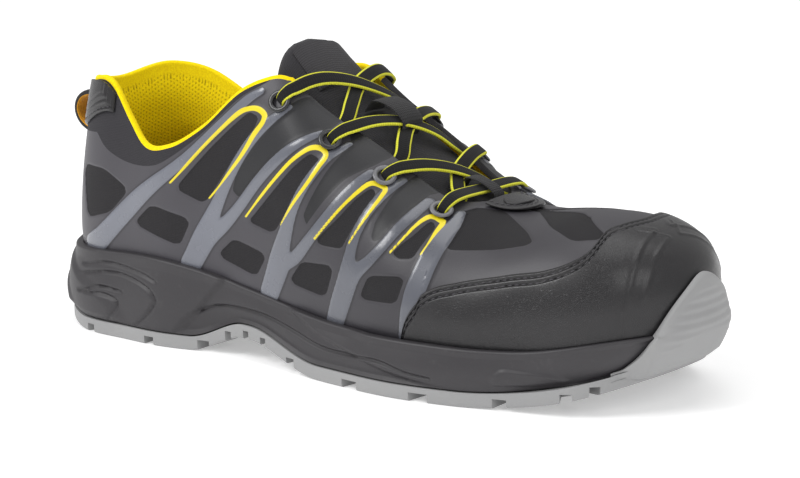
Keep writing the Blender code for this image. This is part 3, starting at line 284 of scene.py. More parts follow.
    def _collar(self) -> list[tuple[float, float, float, float]]:
        """Rows of the collar line: station, named height, lateral and medial share of it."""
        high, ankle, stay = self.collar_height, self.ankle_height, self.eyestay_height
        return [
            (self.heel_turn(0), high, 0.965, 0.965),
            (self.heel_turn(45), high, 1.000, 1.010),
            (self.heel_turn(84), high, 0.985, 0.960),
            (self.along(0.035), ankle, 1.090, 1.140),
            (self.along(0.075), ankle, 0.990, 1.080),
            (self.along(0.15), ankle, 0.990, 1.060),
            (self.along(0.22), ankle, 1.090, 1.120),
            (self.along(0.31), stay, 0.900, 0.910),
            (self.along(0.36), stay, 0.950, 0.955),
            (self.along(0.44), stay, 1.020, 1.020),
        ]

    def _spine(self, samples: int) -> tuple[Array, Array, Array, Array]:
        """Fine table of the spine: station, x, y and heading."""
        at = np.linspace(0, self.path, samples)
        soft = self.turn_blend
        heel = 1 - eased(self.heel_end - soft, self.heel_end + soft, at)
        toe = eased(self.toe_start - soft, self.toe_start + soft, at)
        step = at[1] - at[0]

        def run(rate: Array) -> Array:
            """Running sum of a rate."""
            return np.concatenate([[0], np.cumsum((rate[1:] + rate[:-1]) / 2 * step)])

        x = self.heel_centre + run(1 - heel - toe)
        heading = run(heel / self.heel_reach + toe / self.toe_reach)
        y = self.toe_swing * (eased(self.heel_centre, self.toe_centre, x) - 0.5)
        return at, x, y, heading * math.pi / heading[-1]

    def place(self, at: Array, side: int, reach: Array, height: Array) -> Array:
        """Points at stations, reaches from the spine and heights."""
        stations, x, y, heading = self.spine
        turn = np.interp(at, stations, heading)
        places = np.interp(at, stations, x) - np.cos(turn) * reach + self.shift[0]
        beside = np.interp(at, stations, y) + side * np.sin(turn) * reach + self.shift[1]
        return np.stack([places, beside, height + np.zeros_like(reach)], axis=-1)

    def plan_x(self, at: Array, reach: Array) -> Array:
        """Length x of points at stations and reaches."""
        stations, x, _, heading = self.spine
        return np.interp(at, stations, x) - np.cos(np.interp(at, stations, heading)) * reach

    def column(self, name: str, at: Array) -> Array:
        """A column of the section table, in metres or as a share, at stations."""
        rows = self.sections
        if name == "top":
            rows = [row for row in rows if row.at <= self.toe_start]
            values = [row.height * row.top for row in rows]
        elif name in ("side_full", "top_full"):
            values = [getattr(row, name) for row in rows]
        elif name == "belly_up":
            values = [self.belly_rise * row.belly_up for row in rows]
        else:
            values = [row.width / 2 * getattr(row, name) for row in rows]
        return steady([row.at for row in rows], values, at)

    def sided(self, name: str, at: Array, side: int) -> Array:
        """The column foot or belly of one side."""
        return self.column(name + ("_lat" if side == Side.LATERAL else "_med"), at)

    def level(self, line: Sequence[Level], x: Array) -> Array:
        """Height of a level line at lengths x."""
        return steady([row.share * self.length for row in line], [row.height * row.value for row in line], x)

    def seat(self, x: Array) -> Array:
        """Top of the midsole under the foot."""
        return self.level(self.seat_line, x)

    def bite(self, x: Array) -> Array:
        """Top edge of the midsole."""
        return self.level(self.bite_line, x)

    def closed(self, at: Array, side: int) -> Array:
        """Sections of the closed last, (n, m, 2) reach and height, from feather to ridge."""
        foot, belly = self.sided("foot", at, side), self.sided("belly", at, side)
        top = self.column("top", at)
        feather = self.seat(self.plan_x(at, foot)) + self.gap
        waist = feather + self.column("belly_up", at)
        nil = np.zeros_like(foot)

        def pair(reach: Array, height: Array) -> Array:
            """Plane points."""
            return np.stack([reach, height], axis=-1)

        low = bezier(
            pair(foot, feather),
            pair(foot + self.quarter * (belly - foot), feather),
            pair(belly, waist - self.quarter * (waist - feather)),
            pair(belly, waist),
            np.linspace(0, 1, self.foot_steps, endpoint=False),
        )
        high = bezier(
            pair(belly, waist),
            pair(belly, waist + self.column("side_full", at) * (top - waist)),
            pair(self.column("top_full", at) * belly, top),
            pair(nil, top),
            np.linspace(0, 1, self.side_steps),
        )
        return np.concatenate([low, high], axis=1)

    @staticmethod
    def lengths(sections: Array) -> Array:
        """Arc length along each section."""
        steps = np.linalg.norm(np.diff(sections, axis=1), axis=2)
        return np.concatenate([np.zeros((len(sections), 1)), np.cumsum(steps, axis=1)], axis=1)

    @staticmethod
    def walk(arcs: Array, sections: Array, lengths: Array) -> list[Array]:
        """Reaches and heights at arcs along each section."""
        rows = list(zip(arcs, lengths, sections))
        return [np.array([np.interp(arc, length, part[:, k]) for arc, length, part in rows]) for k in (0, 1)]

    def throat_half(self, at: Array) -> Array:
        """Half the throat's opening at stations, 0 where the vamp is closed."""
        x = np.interp(at, self.spine[0], self.spine[1])
        share = np.clip((x - self.eyelet_last) / (self.throat_end - self.eyelet_last), 0, 1)
        half = (self.throat_top + share * (self.throat_low - self.throat_top)) / 2
        into_end = np.clip((x - self.throat_end + self.throat_round) / self.throat_round, 0, 1)
        return half * np.sqrt(1 - into_end**2)

    def cut(self, at: Array, side: int, sections: Array, lengths: Array) -> Array:
        """Arc length at which the collar line or the throat line cuts each section."""
        column = 2 if side == Side.LATERAL else 3
        collar = column_at([(row[0], row[1] * row[column]) for row in self.collar], 1, at)
        half = self.throat_half(at)
        found = np.empty(len(at))
        for i, (section, length) in enumerate(zip(sections, lengths)):
            if half[i] == 0:
                found[i] = length[-1]
                continue
            over = section[self.foot_steps :]
            throat = np.interp(half[i], over[::-1, 0], length[self.foot_steps :][::-1])
            rim = np.interp(collar[i], section[:, 1], length)
            rim = length[-1] + self.corner_soft if collar[i] >= section[-1, 1] else rim
            found[i] = (throat + rim - math.hypot(throat - rim, self.corner_soft)) / 2
        return found

    def arcs(self, at: Array, side: int) -> tuple[Array, Array]:
        """Arc lengths from the feather to the cut and to the ridge, per station."""
        sections = self.closed(at, side)
        lengths = self.lengths(sections)
        return self.cut(at, side, sections, lengths), lengths[:, -1]

    def at_arc(self, at: Array, side: int, arc: Array) -> Array:
        """Points on the closed last at stations (n,) and arc lengths (n, m)."""
        sections = self.closed(at, side)
        return self.place(at[:, None], side, *self.walk(arc, sections, self.lengths(sections)))

    def form(self, at: Array, side: int, shares: Array) -> Array:
        """Points of the upper's outer form at stations (n,) and shares (n, m)."""
        cut, _ = self.arcs(at, side)
        return self.at_arc(at, side, np.clip(shares, 0, 1) * cut[:, None])

    def form_any(self, at: Array, side: int, shares: Array) -> Array:
        """form() for stations that may lie past the ends, where the other side goes on."""
        inside = np.where(at < 0, -at, np.where(at > self.path, 2 * self.path - at, at))
        sides = np.where((at < 0) | (at > self.path), -side, side)
        found = np.empty(shares.shape + (3,))
        for one in SIDES:
            chosen = sides == one
            if chosen.any():
                found[chosen] = self.form(inside[chosen], one, shares[chosen])
        return found

    def normals(self, at: Array, side: int, shares: Array) -> Array:
        """Outward unit normals of form()."""
        near, small = 0.0008, 0.012
        ahead = self.form_any(at + near, side, shares) - self.form_any(at - near, side, shares)
        up = self.form(at, side, np.minimum(shares + small, 1))
        up = up - self.form(at, side, np.maximum(shares - small, 0))
        normal = np.cross(ahead, up) * side * -1
        size = np.linalg.norm(normal, axis=-1, keepdims=True)
        normal = np.where(size < 1e-12, (0, 0, 1), normal / np.maximum(size, 1e-12))
        ridge = (shares >= 1) & (self.throat_half(at) == 0)[:, None]
        normal[ridge, 1] = 0
        normal[ridge & (at >= self.toe_start)[:, None]] = (0, 0, 1)
        return unit(normal)

    def reach_at_height(self, at: Array, side: int, height: Array, outward: float) -> Array:
        """Reach of the last, offset outward, at heights (n, m)."""
        sections = self.closed(at, side)
        tangent = np.gradient(sections, axis=1)
        tangent /= np.linalg.norm(tangent, axis=2, keepdims=True)
        off = np.broadcast_to(outward, len(sections))[:, None, None]
        moved = sections + off * np.stack([tangent[..., 1], -tangent[..., 0]], axis=-1)
        return np.stack([np.interp(h, m[:, 1], m[:, 0]) for h, m in zip(height, moved)])

    def instep(self, x: Array, across: Array) -> Array:
        """Points of the closed instep at lengths x and arcs across from the ridge."""
        x, across = np.broadcast_arrays(np.asarray(x, float), np.asarray(across, float))
        shape = x.shape
        x, across = x.ravel(), across.ravel()
        found = np.empty((len(x), 3))
        for side in SIDES:
            mine = (across < 0) == (side == Side.LATERAL)
            if not mine.any():
                continue
            at = self.station_at(x[mine])
            sections = self.closed(at, side)
            lengths = self.lengths(sections)
            arcs = lengths[:, -1] - np.abs(across[mine])
            found[mine] = self.place(at, side, *self.walk(arcs, sections, lengths))
        return found.reshape(shape + (3,))

    def over_instep(self, x: Array, across: Array, lift: Array | float) -> tuple:
        """Points a lift above the closed instep, and the normals there."""
        near = 0.0010
        ahead = self.instep(x + near, across) - self.instep(x - near, across)
        beside = self.instep(x, across + near) - self.instep(x, across - near)
        normal = unit(np.cross(ahead, beside))
        return self.instep(x, across) + normal * np.asarray(lift)[..., None], normal

    def throat_across(self, x: float, side: int) -> float:
        """Arc from the ridge to the throat's edge beside a length x."""
        cut, ridge = self.arcs(np.array([self.station_at(x)]), side)
        return float(ridge[0] - cut[0])

    def eyelet_length(self, row: int) -> float:
        """Length x of an eyelet row; row 0 is the one by the toe."""
        return self.eyelet_first + row / (self.eyelet_rows - 1) * (self.eyelet_last - self.eyelet_first)

    def eyelet_spot(self, row: int, side: int) -> tuple[Array, Array]:
        """Point and outward normal for an eyelet."""
        at = np.array([self.station_at(self.eyelet_length(row))])
        cut, _ = self.arcs(at, side)
        shares = np.array([[1 - self.eyelet_inset / cut[0]]])
        return self.form(at, side, shares)[0, 0], self.normals(at, side, shares)[0, 0]

    def wall_depth(self, at: Array, side: int, shares: Array) -> Array:
        """Depth of the upper's inner face under its outer one: a wall, padded at the collar."""
        cut, _ = self.arcs(at, side)
        below = (1 - shares) * cut[:, None]
        soft = eased(-0.002, 0.012, below) * (1 - eased(self.pad_depth * 0.6, self.pad_depth, below))
        top = self.station_at(self.eyelet_last)
        behind = 1 - eased(top - 0.022, top - 0.002, at)
        return self.wall + self.collar_pad * soft * behind[:, None]

    def feather_share(self, at: Array, side: int) -> Array:
        """Share at which overlays start, just above the cup's floor."""
        sections = self.closed(at, side)
        lengths = self.lengths(sections)
        cut = self.cut(at, side, sections, lengths)
        rise = 0.55 * (self.bite(self.plan_x(at, sections[:, 0, 0])) - sections[:, 0, 1])
        start = [np.interp(s[0, 1] + r, s[:, 1], l) for s, l, r in zip(sections, lengths, rise)]
        return np.array(start) / cut


@dataclass
class SoleForm:
    """Surfaces of midsole, outsole and bumper round the last, as in the solids' source."""

    last: Last
    flange: float = 0.0050
    thickness: float = 0.0056
    base: float = 0.0022
    rim: float = 0.0030
    rim_edge: float = 0.0010
    arch_rise: float = 0.0085
    toe_spring: float = 0.0180
    heel_bevel: float = 0.0050
    chamfer: float = 0.0010
    step: float = 0.0013
    bumper_thickness: float = 0.0028
    bumper_height: float = 0.0500
    bumper_foot: float = 0.0030
    groove_width: float = 0.0045

    def __post_init__(self) -> None:
        """Sets the tables that follow the last."""
        turn, run, front = self.last.heel_turn, self.last.along, self.last.toe_turn
        self.flanges = [
            (turn(0), 0.75, 0.75),
            (turn(90), 1.05, 0.95),
            (run(0.30), 0.48, 0.30),
            (run(0.55), 1.00, 0.70),
            (run(0.80), 1.05, 0.95),
            (front(10), 0.60, 0.60),
            (front(90), 0.45, 0.45),
        ]
        self.bumper_line = [
            (front(42), 0.00),
            (front(53), 0.12),
            (front(61), 0.38),
            (front(68), 0.62),
            (front(77), 0.84),
            (front(90), 1.00),
        ]
        self.guard_line = [
            (run(0.745), 0.10),
            (run(0.765), 0.24),
            (run(0.80), 0.33),
            (run(0.86), 0.40),
            (run(0.95), 0.45),
            (front(8), 0.48),
            (front(20), 0.51),
            (front(30), 0.55),
            (front(44), 0.68),
            (front(60), 0.72),
            (front(90), 0.735),
        ]
        self.grooves = [
            (turn(74), 0.013, 12, 1.0),
            (run(0.105), 0.015, -8, 1.1),
            (run(0.235), 0.013, -8, 1.2),
            (run(0.300), 0.010, 0, 0.7),
            (run(0.350), 0.010, 0, 0.7),
            (run(0.400), 0.010, 0, 0.7),
            (run(0.485), 0.013, 10, 1.0),
            (run(0.650), 0.016, 14, 1.7),
            (run(0.808), 0.017, 8, 1.7),
            (run(0.960), 0.016, -6, 1.2),
            (front(20), 0.014, -24, 1.0),
            (front(33), 0.013, -34, 0.9),
        ]

    def ground(self, x: Array) -> Array:
        """Underside of the tread: flats, raised arch, heel bevel and toe spring."""
        x = np.asarray(x, float)
        half = self.last.length / 2
        arch = eased(-0.46 * half, -0.26 * half, x) * (1 - eased(-0.24 * half, 0.05 * half, x))
        spring = self.toe_spring * np.clip((x - 0.50 * half) / (0.54 * half), 0, None) ** 1.9
        bevel = self.heel_bevel * np.clip((-0.86 * half - x) / (0.16 * half), 0, None) ** 1.6
        return self.arch_rise * arch + spring + bevel

    def reach(self, at: Array, side: int) -> Array:
        """Reach of the sole's widest line."""
        stand = self.flange * column_at(self.flanges, 1 if side == Side.LATERAL else 2, at)
        return self.last.sided("belly", at, side) + stand

    def seam(self, at: Array, side: int, reach: Array) -> Array:
        """Seam height between outsole and midsole at reaches (n, m)."""
        columns = self.reach(at, side)[:, None] * np.array([0, 0.45, 0.80, 1])
        heights = self.ground(self.last.plan_x(at[:, None], columns)) + self.thickness
        return np.stack([np.interp(r, c, h) for r, c, h in zip(reach, columns, heights)])

    def floor(self, at: Array, side: int, reach: Array) -> Array:
        """Top of the midsole under the foot at reaches (n, m)."""
        columns = self.last.sided("foot", at, side)[:, None] * np.array([0, 0.5, 1])
        heights = self.last.seat(self.last.plan_x(at[:, None], columns))
        return np.stack([np.interp(r, c, h) for r, c, h in zip(reach, columns, heights)])

    def cup_gap(self, at: Array) -> Array:
        """Distance from the last to the midsole's cup."""
        start, gap = self.guard_line[0][0], self.last.gap
        return gap + (self.last.overlay + gap) * eased(start - 0.024, start - 0.011, at)

    def steps(self, at: Array, height: Array) -> Array:
        """Relief of the midsole's side: two lobes at the heel and a recessed arch panel."""
        last = self.last
        at = per_row(at, height)

        def lobe(along: float, up: float) -> Array:
            """1 inside a lobe round the heel's back."""
            return 1 - eased(0.90, 1.04, np.hypot(at / along, height / up))

        lobes = lobe(last.heel_end * 0.62, last.heel_bite * 0.36)
        lobes = lobes + lobe(last.heel_end * 1.12, last.heel_bite * 0.62)
        start, peak, end = last.along(0.14), last.along(0.30), last.along(0.95)
        crest = self.arch_rise + 0.010 + self.step
        line = crest * eased(start, peak, at) * (1 - eased(peak, end, at)) - self.step
        under = 1 - eased(-self.step, self.step, height - line)
        return self.step * (lobes * 0.9 - 1.2 * under)

    def side(self, at: Array, side: int, up: Array) -> tuple[Array, Array]:
        """Outer side of the midsole at shares up of its height: reaches and heights."""
        last = self.last
        widest = self.reach(at, side)
        tuck = eased(last.along(0.95), last.toe_turn(20), at)
        foot = widest - (self.bumper_thickness + last.gap) * tuck - 0.0006
        bottom = self.seam(at, side, foot[:, None])[:, 0] + 2 * last.gap
        edge = last.bite(last.plan_x(at, widest))
        rim = last.reach_at_height(at, side, edge[:, None], self.cup_gap(at))[:, 0]
        rim = rim + self.rim * (1 - 0.5 * eased(last.along(0.9), last.toe_turn(30), at))
        heights = bottom[:, None] + (edge - self.rim_edge - bottom)[:, None] * up
        bulge = np.sin(math.pi * np.minimum(up * 1.15, 1))
        reach = foot[:, None] + (rim - foot)[:, None] * up**1.6
        relief = self.steps(at, heights - bottom[:, None]) * np.minimum(up / 0.10, 1)
        return reach + 0.0012 * bulge + relief, heights

    def guard_share(self, at: Array) -> Array:
        """Top edge of the toe guard as a share of the section."""
        return column_at(self.guard_line, 1, at)

    def bumper(self, at: Array, side: int, up: Array) -> tuple[Array, Array, Array]:
        """Inner and outer reaches and heights of the toe bumper at shares up of its height."""
        last = self.last
        foot = self.ground(last.plan_x(at, self.reach(at, side))) + self.thickness - self.bumper_foot
        share = column_at(self.bumper_line, 1, at)
        base = self.ground(last.plan_x(at, last.column("belly_lat", at))) + self.thickness
        top = np.maximum(base + share * (self.bumper_height - base), foot + self.bumper_foot * 1.1)
        height = foot[:, None] + (top - foot)[:, None] * up
        rows = np.linspace(0, 1, 12)
        outside, level_of = self.side(at, side, rows)
        clear = np.maximum(height, foot[:, None] + self.bumper_foot)
        inside = last.reach_at_height(at, side, clear, last.overlay + last.gap)
        wall = np.stack([np.interp(h, z, r) for h, z, r in zip(clear, level_of, outside)])
        under = clear < level_of[:, -1:] + self.rim_edge
        inside = np.where(under, np.maximum(wall, inside), inside) + 2.5 * last.gap
        rise = eased(self.bumper_line[0][0], self.bumper_line[2][0], at)[:, None]
        outside = inside + self.bumper_thickness * (1 - 0.45 * up**3) * (0.35 + 0.65 * rise)
        return inside, outside, height


def placed(name: str, data: bpy.types.ID) -> Object:
    """A new object of the scene."""
    obj = bpy.data.objects.new(name, data)
    bpy.context.scene.collection.objects.link(obj)
    return obj


@dataclass(frozen=True)
class PhotoView:
    """The photograph's camera: angles in degrees, lengths in metres, sizes in pixels."""

    azimuth: float = 38.3
    elevation: float = 12.3
    roll: float = -0.72
    distance: float = 1.0
    focal: float = 2545.0
    centre: tuple[float, float] = (-5.0, -0.5)
    target: tuple[float, float] = (0.0079, 0.0453)
    size: tuple[int, int] = (800, 478)
    sensor: float = 36.0

    def axes(self) -> tuple[Vector, Vector, Vector, Vector]:
        """Camera place and its right, up and back directions."""
        az, el, roll = (math.radians(v) for v in (self.azimuth, self.elevation, self.roll))
        back = Vector((math.sin(az) * math.cos(el), -math.cos(az) * math.cos(el), math.sin(el)))
        right = Vector((math.cos(az), math.sin(az), 0))
        up = back.cross(right)
        turned = math.cos(roll) * right + math.sin(roll) * up
        raised = -math.sin(roll) * right + math.cos(roll) * up
        place = Vector((self.target[0], 0, self.target[1])) + back * self.distance
        return place, turned, raised, back

    def ray(self, x: float, y: float) -> tuple[Vector, Vector]:
        """Start and direction of the sight line through a pixel."""
        place, right, up, back = self.axes()
        across = (x - self.size[0] / 2 - self.centre[0]) / self.focal
        rise = (self.size[1] / 2 + self.centre[1] - y) / self.focal
        return place, (right * across + up * rise - back).normalized()

    def camera(self) -> Object:
        """Adds the camera and makes it the scene's."""
        place, right, up, back = self.axes()
        data = bpy.data.cameras.new("photo_camera")
        data.sensor_width = self.sensor
        data.lens = self.focal * self.sensor / self.size[0]
        data.shift_x = -self.centre[0] / self.size[0]
        data.shift_y = self.centre[1] / self.size[0]
        data.clip_start, data.clip_end = 0.05, 30.0
        camera = placed("photo_camera", data)
        turn = Matrix((right, up, back)).transposed().to_4x4()
        camera.matrix_world = Matrix.Translation(place) @ turn
        bpy.context.scene.camera = camera
        return camera


class Landing:
    """Finds where sight lines meet a surface, in that surface's own two coordinates."""

    def __init__(self, view: PhotoView, points: Array, first: Array, second: Array) -> None:
        """Builds the search tree.

        Args:
            view: the camera whose pixels are landed.
            points: grid of the surface (n, m, 3).
            first: first coordinate at each grid point (n, m).
            second: second coordinate at each grid point (n, m).
        """
        rows, columns = points.shape[:2]
        index = np.arange(rows * columns).reshape(rows, columns)
        a, b, c, d = index[:-1, :-1], index[1:, :-1], index[1:, 1:], index[:-1, 1:]
        faces = np.concatenate([np.stack(part, -1).reshape(-1, 3) for part in ([a, b, c], [a, c, d])])
        self.view = view
        self.points = points.reshape(-1, 3)
        self.values = np.stack([first, second], -1).reshape(-1, 2)
        self.faces = faces
        self.tree = BVHTree.FromPolygons([Vector(p) for p in self.points], faces.tolist())

    def land(self, x: float, y: float) -> Array:
        """Coordinates of the surface under a pixel, or of the nearest place on it."""
        place, ray = self.view.ray(x, y)
        spot, _, face, _ = self.tree.ray_cast(place, ray)
        if spot is None:
            reach = place + ray * self.view.distance
            spot, _, face, _ = self.tree.find_nearest(reach)
        corners = self.faces[face]
        a, b, c = (Vector(self.points[k]) for k in corners)
        whole = (b - a).cross(c - a)
        size = whole.length_squared
        share_b = (spot - a).cross(c - a).dot(whole) / size
        share_c = (b - a).cross(spot - a).dot(whole) / size
        values = self.values[corners]
        return values[0] * (1 - share_b - share_c) + values[1] * share_b + values[2] * share_c


def smoothed(points: Sequence[Sequence[float]], count: int, ring: bool = False) -> Array:
    """A smooth line through table points.

    Args:
        points: rows of any number of values.
        count: points wanted between each pair.
        ring: whether the last joins the first.

    Returns:
        Rows along a Catmull-Rom curve.
    """
    rows = np.asarray(points, float)
    if ring:
        ends = np.concatenate([rows[-1:], rows, rows[:2]])
    else:
        ends = np.concatenate([2 * rows[:1] - rows[1:2], rows, 2 * rows[-1:] - rows[-2:-1]])
    t = np.linspace(0, 1, count, endpoint=False)[:, None]
    found = []
    for a, b, c, d in zip(ends, ends[1:], ends[2:], ends[3:]):
        found.append(
            0.5 * (2 * b + (c - a) * t + (2 * a - 5 * b + 4 * c - d) * t**2 + (3 * b - a - 3 * c + d) * t**3)
        )
    return np.concatenate(found + ([] if ring else [rows[-1:]]))


def rounded(points: Sequence[Sequence[float]], turns: int = 2) -> Array:
    """A closed outline with its corners cut round."""
    rows = np.asarray(points, float)
    for _ in range(turns):
        ahead = np.roll(rows, -1, axis=0)
        rows = np.stack([0.88 * rows + 0.12 * ahead, 0.12 * rows + 0.88 * ahead], axis=1).reshape(-1, 2)
    return rows


def outline_distance(spots: Array, outline: Array) -> Array:
    """Distance from spots (n, 2) to a closed outline, negative inside."""
    found = np.full(len(spots), np.inf)
    inside = np.zeros(len(spots), bool)
    for a, b in zip(outline, np.roll(outline, -1, axis=0)):
        edge, away = b - a, spots - a
        share = np.clip(away @ edge / max(edge @ edge, 1e-18), 0, 1)
        found = np.minimum(found, np.linalg.norm(away - share[:, None] * edge, axis=1))
        crosses = (a[1] > spots[:, 1]) != (b[1] > spots[:, 1])
        rise = b[1] - a[1] if b[1] != a[1] else 1e-18
        inside ^= crosses & (spots[:, 0] < (b[0] - a[0]) * (spots[:, 1] - a[1]) / rise + a[0])
    return np.where(inside, -found, found)


def stroke_distance(spots: Array, line: Array) -> Array:
    """Distance from spots (n, 2) to a brush stroke of rows (first, second, radius)."""
    found = np.full(len(spots), np.inf)
    for a, b in zip(line, line[1:]):
        edge, away = b[:2] - a[:2], spots - a[:2]
        share = np.clip(away @ edge / max(edge @ edge, 1e-18), 0, 1)
        radius = a[2] + (b[2] - a[2]) * share
        found = np.minimum(found, np.linalg.norm(away - share[:, None] * edge, axis=1) - radius)
    return found


def soft_least(a: Array, b: Array, width: float) -> Array:
    """The lesser of two distances, rounded where they are alike."""
    share = np.clip(0.5 + 0.5 * (b - a) / width, 0, 1)
    return b + (a - b) * share - width * share * (1 - share)


@dataclass
class PatternSheet:
    """The side's pattern in the photograph, and its distances on the last.

    Strokes are rows of pixel x, y and width; outlines are rows of pixel x and y.
    """

    last: Last
    view: PhotoView
    ribs: dict[str, Pixels] = table(
        {
            "heel": [(94, 246, 19), (125, 212, 17), (149, 188, 14), (185, 159, 10), (221, 125, 9.5),
                (247.5, 100, 8), (262, 91, 6)],
            "second_rear": [(191, 264, 19), (203, 238, 20), (216, 208, 13), (226, 185, 10),
                (238.6, 160, 9), (253, 138.6, 9), (270.7, 120.7, 8), (290, 107, 5)],
            "second_front": [(191, 264, 19), (207, 240, 18), (224, 225, 13), (238.6, 208, 10),
                (256.4, 183, 9.5), (274.3, 162.7, 9.5), (292, 147.5, 9), (310, 137.7, 7),
                (322, 133, 5)],
            "third_rear": [(269, 295, 15), (278, 265, 18), (285, 236, 13), (292, 212, 9.5),
                (301, 192, 9), (313, 174, 9), (327, 158, 8.5), (340, 150, 6), (350, 144, 4)],
            "third_front": [(269, 295, 15), (281, 267, 17), (295, 258, 12), (309, 240, 10),
                (325, 219, 9.5), (341.5, 199, 9.5), (358, 183, 9), (371, 173, 7)],
            "fourth_rear": [(335, 322, 14), (341, 300, 17), (347, 278, 17), (350, 256, 11),
                (354, 240, 9.5), (360, 226, 9), (369, 211, 9), (381, 197, 9), (393, 187, 7.5),
                (404, 180, 5)],
            "fourth_front": [(335, 322, 14), (342, 300, 17), (353, 276, 15), (368, 262, 10.5),
                (383, 246, 9.5), (399.5, 227.5, 9.5), (416, 212.5, 9), (430, 201, 7)],
            "fifth": [(461, 213, 7), (455, 223, 10), (446, 235, 13), (434, 251, 17), (424, 270, 19),
                (415, 292, 20), (408, 315, 16), (404, 338, 10)],
        }
    )
    arches: list[Pixels] = table(
        [
            [(170, 183, 1.5), (185, 167, 3), (203, 147.5, 3.5), (221, 129.6, 4), (238.6, 113.6, 5),
                (249.3, 108.6, 6), (258.2, 109, 7), (264.5, 114.5, 7), (263.6, 121.6, 6.5),
                (254.6, 135, 5.5), (244, 153, 4.5), (231.4, 170.7, 3.5), (219, 187, 2.5),
                (209, 198.4, 1.5)],
            [(245.7, 217, 1.5), (260, 197.5, 3), (274.3, 179.6, 3.5), (290.4, 161.8, 4.5),
                (304.6, 151, 5.5), (313.6, 147.5, 6.5), (322.5, 149.3, 7), (326, 156.4, 6.5),
                (319, 167, 5.5), (308.2, 183, 4.5), (294, 203, 3.5), (281.4, 224.3, 1.5)],
            [(315, 239, 1.5), (329.8, 220.8, 3), (344.8, 204.2, 3.5), (361.4, 189.3, 5),
                (371.3, 183.4, 6), (379.6, 185.1, 6.5), (385.4, 190, 6), (381.3, 197.5, 5),
                (371.3, 210.8, 4), (359.7, 227.4, 3), (349.8, 243.2, 1.5)],
            [(389.6, 253, 1.5), (402.8, 239, 3), (417.7, 224, 4), (431, 216.6, 5.5), (441, 220.8, 6),
                (442.6, 224, 6), (436, 232.4, 4.5), (429.4, 242.3, 3), (421, 254.8, 1.5)],
        ]
    )
    windows: list[Corners] = table(
        [
            [(249, 114), (256, 118), (253, 126), (237, 149), (221, 174), (207, 197), (201, 200),
                (178, 188), (194, 169), (212, 149), (231, 130)],
            [(310, 155.5), (292, 170.7), (274.3, 192), (254.6, 217), (251, 220.7), (269, 229.6),
                (274.3, 228), (290.4, 199.3), (306.4, 174.3), (317, 160)],
            [(371.3, 190), (356.4, 201), (339.8, 219), (318, 240.7), (321.6, 243), (339.8, 246.5),
                (346.4, 234), (359.7, 212.5), (373, 194.2)],
            [(431, 222.4), (416, 235.7), (394.5, 252.3), (399.5, 256.4), (411, 256.4), (419.4, 244),
                (432.7, 227.4)],
            [(151, 207), (188, 221), (178, 244), (136, 223)],
            [(234, 241), (264, 256), (255, 274), (220, 255)],
            [(302, 264), (331, 268), (324, 295), (291, 281)],
            [(369, 278), (402, 279), (394, 302), (361, 297)],
            [(85, 165), (104, 171), (126, 190), (109, 210), (88, 215)],
            [(445, 248), (465, 212), (480, 208), (503, 211), (525, 233), (530, 243), (496, 248)],
            [(551, 203), (588, 205), (591, 221), (604, 235), (596, 238), (573, 239), (553, 226),
                (541, 210)],
        ]
    )
    panels: list[Corners] = table(
        [
            [(238, 197), (232, 190), (238, 168), (250, 148), (268, 128), (283, 112), (292, 103),
                (305, 97), (317, 97), (345, 119), (332, 128), (318, 136), (300, 147), (280, 160),
                (262, 178), (248, 194)],
            [(306, 225), (303, 215), (310, 199), (325, 173), (341, 154), (352, 143), (345, 119),
                (398, 153), (390, 158), (373, 166), (346, 178), (325, 199), (310, 219)],
            [(373, 242), (371, 236), (375, 222), (388, 201), (399, 188), (420, 172), (450, 192),
                (431, 194), (416, 206), (393, 224), (380, 239)],
        ]
    )
    collar: Corners = table(
        [(97, 132), (107, 149), (127, 162), (148, 166), (166, 160), (200, 135), (237, 100), (262, 85),
            (285, 72)]
    )
    rib_merge: float = 1.5
    widest: float = 1.5
    least: float = 0.42
    window_grow: float = 0.9
    arch_slim: float = 0.80
    far: float = 99.0
    fine: int = 4

    def __post_init__(self) -> None:
        """Lays the last's lateral side out for landing."""
        at = np.linspace(0, self.last.path, 150)
        rows = np.linspace(0, 1, 80)
        _, ridge = self.last.arcs(at, Side.LATERAL)
        arc = ridge[:, None] * rows
        points = self.last.at_arc(at, Side.LATERAL, arc)
        self.landing = Landing(self.view, points, per_row(at, arc), arc)

    def land_line(self, pixels: Sequence[Sequence[float]]) -> Array:
        """Landed places of pixels, in millimetres on the last."""
        return np.array([self.landing.land(row[0], row[1]) for row in pixels]) * MM_PER_M

    def land_stroke(self, pixels: Sequence[tuple[float, float, float]], slim: float = 1.0) -> Array:
        """Landed stroke with radii in millimetres, finely spaced; slim thins it."""
        rows = smoothed(pixels, self.fine)
        ahead = np.gradient(rows[:, :2], axis=0)
        beside = unit(np.stack([-ahead[:, 1], ahead[:, 0]], -1))
        half = beside * rows[:, 2:3] / 2
        left, right = self.land_line(rows[:, :2] - half), self.land_line(rows[:, :2] + half)
        plain = rows[:, 2] / 2 / (self.view.focal / self.view.distance / MM_PER_M)
        radius = np.clip(np.linalg.norm(left - right, axis=1) / 2, plain * 0.9, plain * self.widest)
        radius = np.maximum(radius * slim, self.least)
        return np.column_stack([self.land_line(rows[:, :2]), radius])

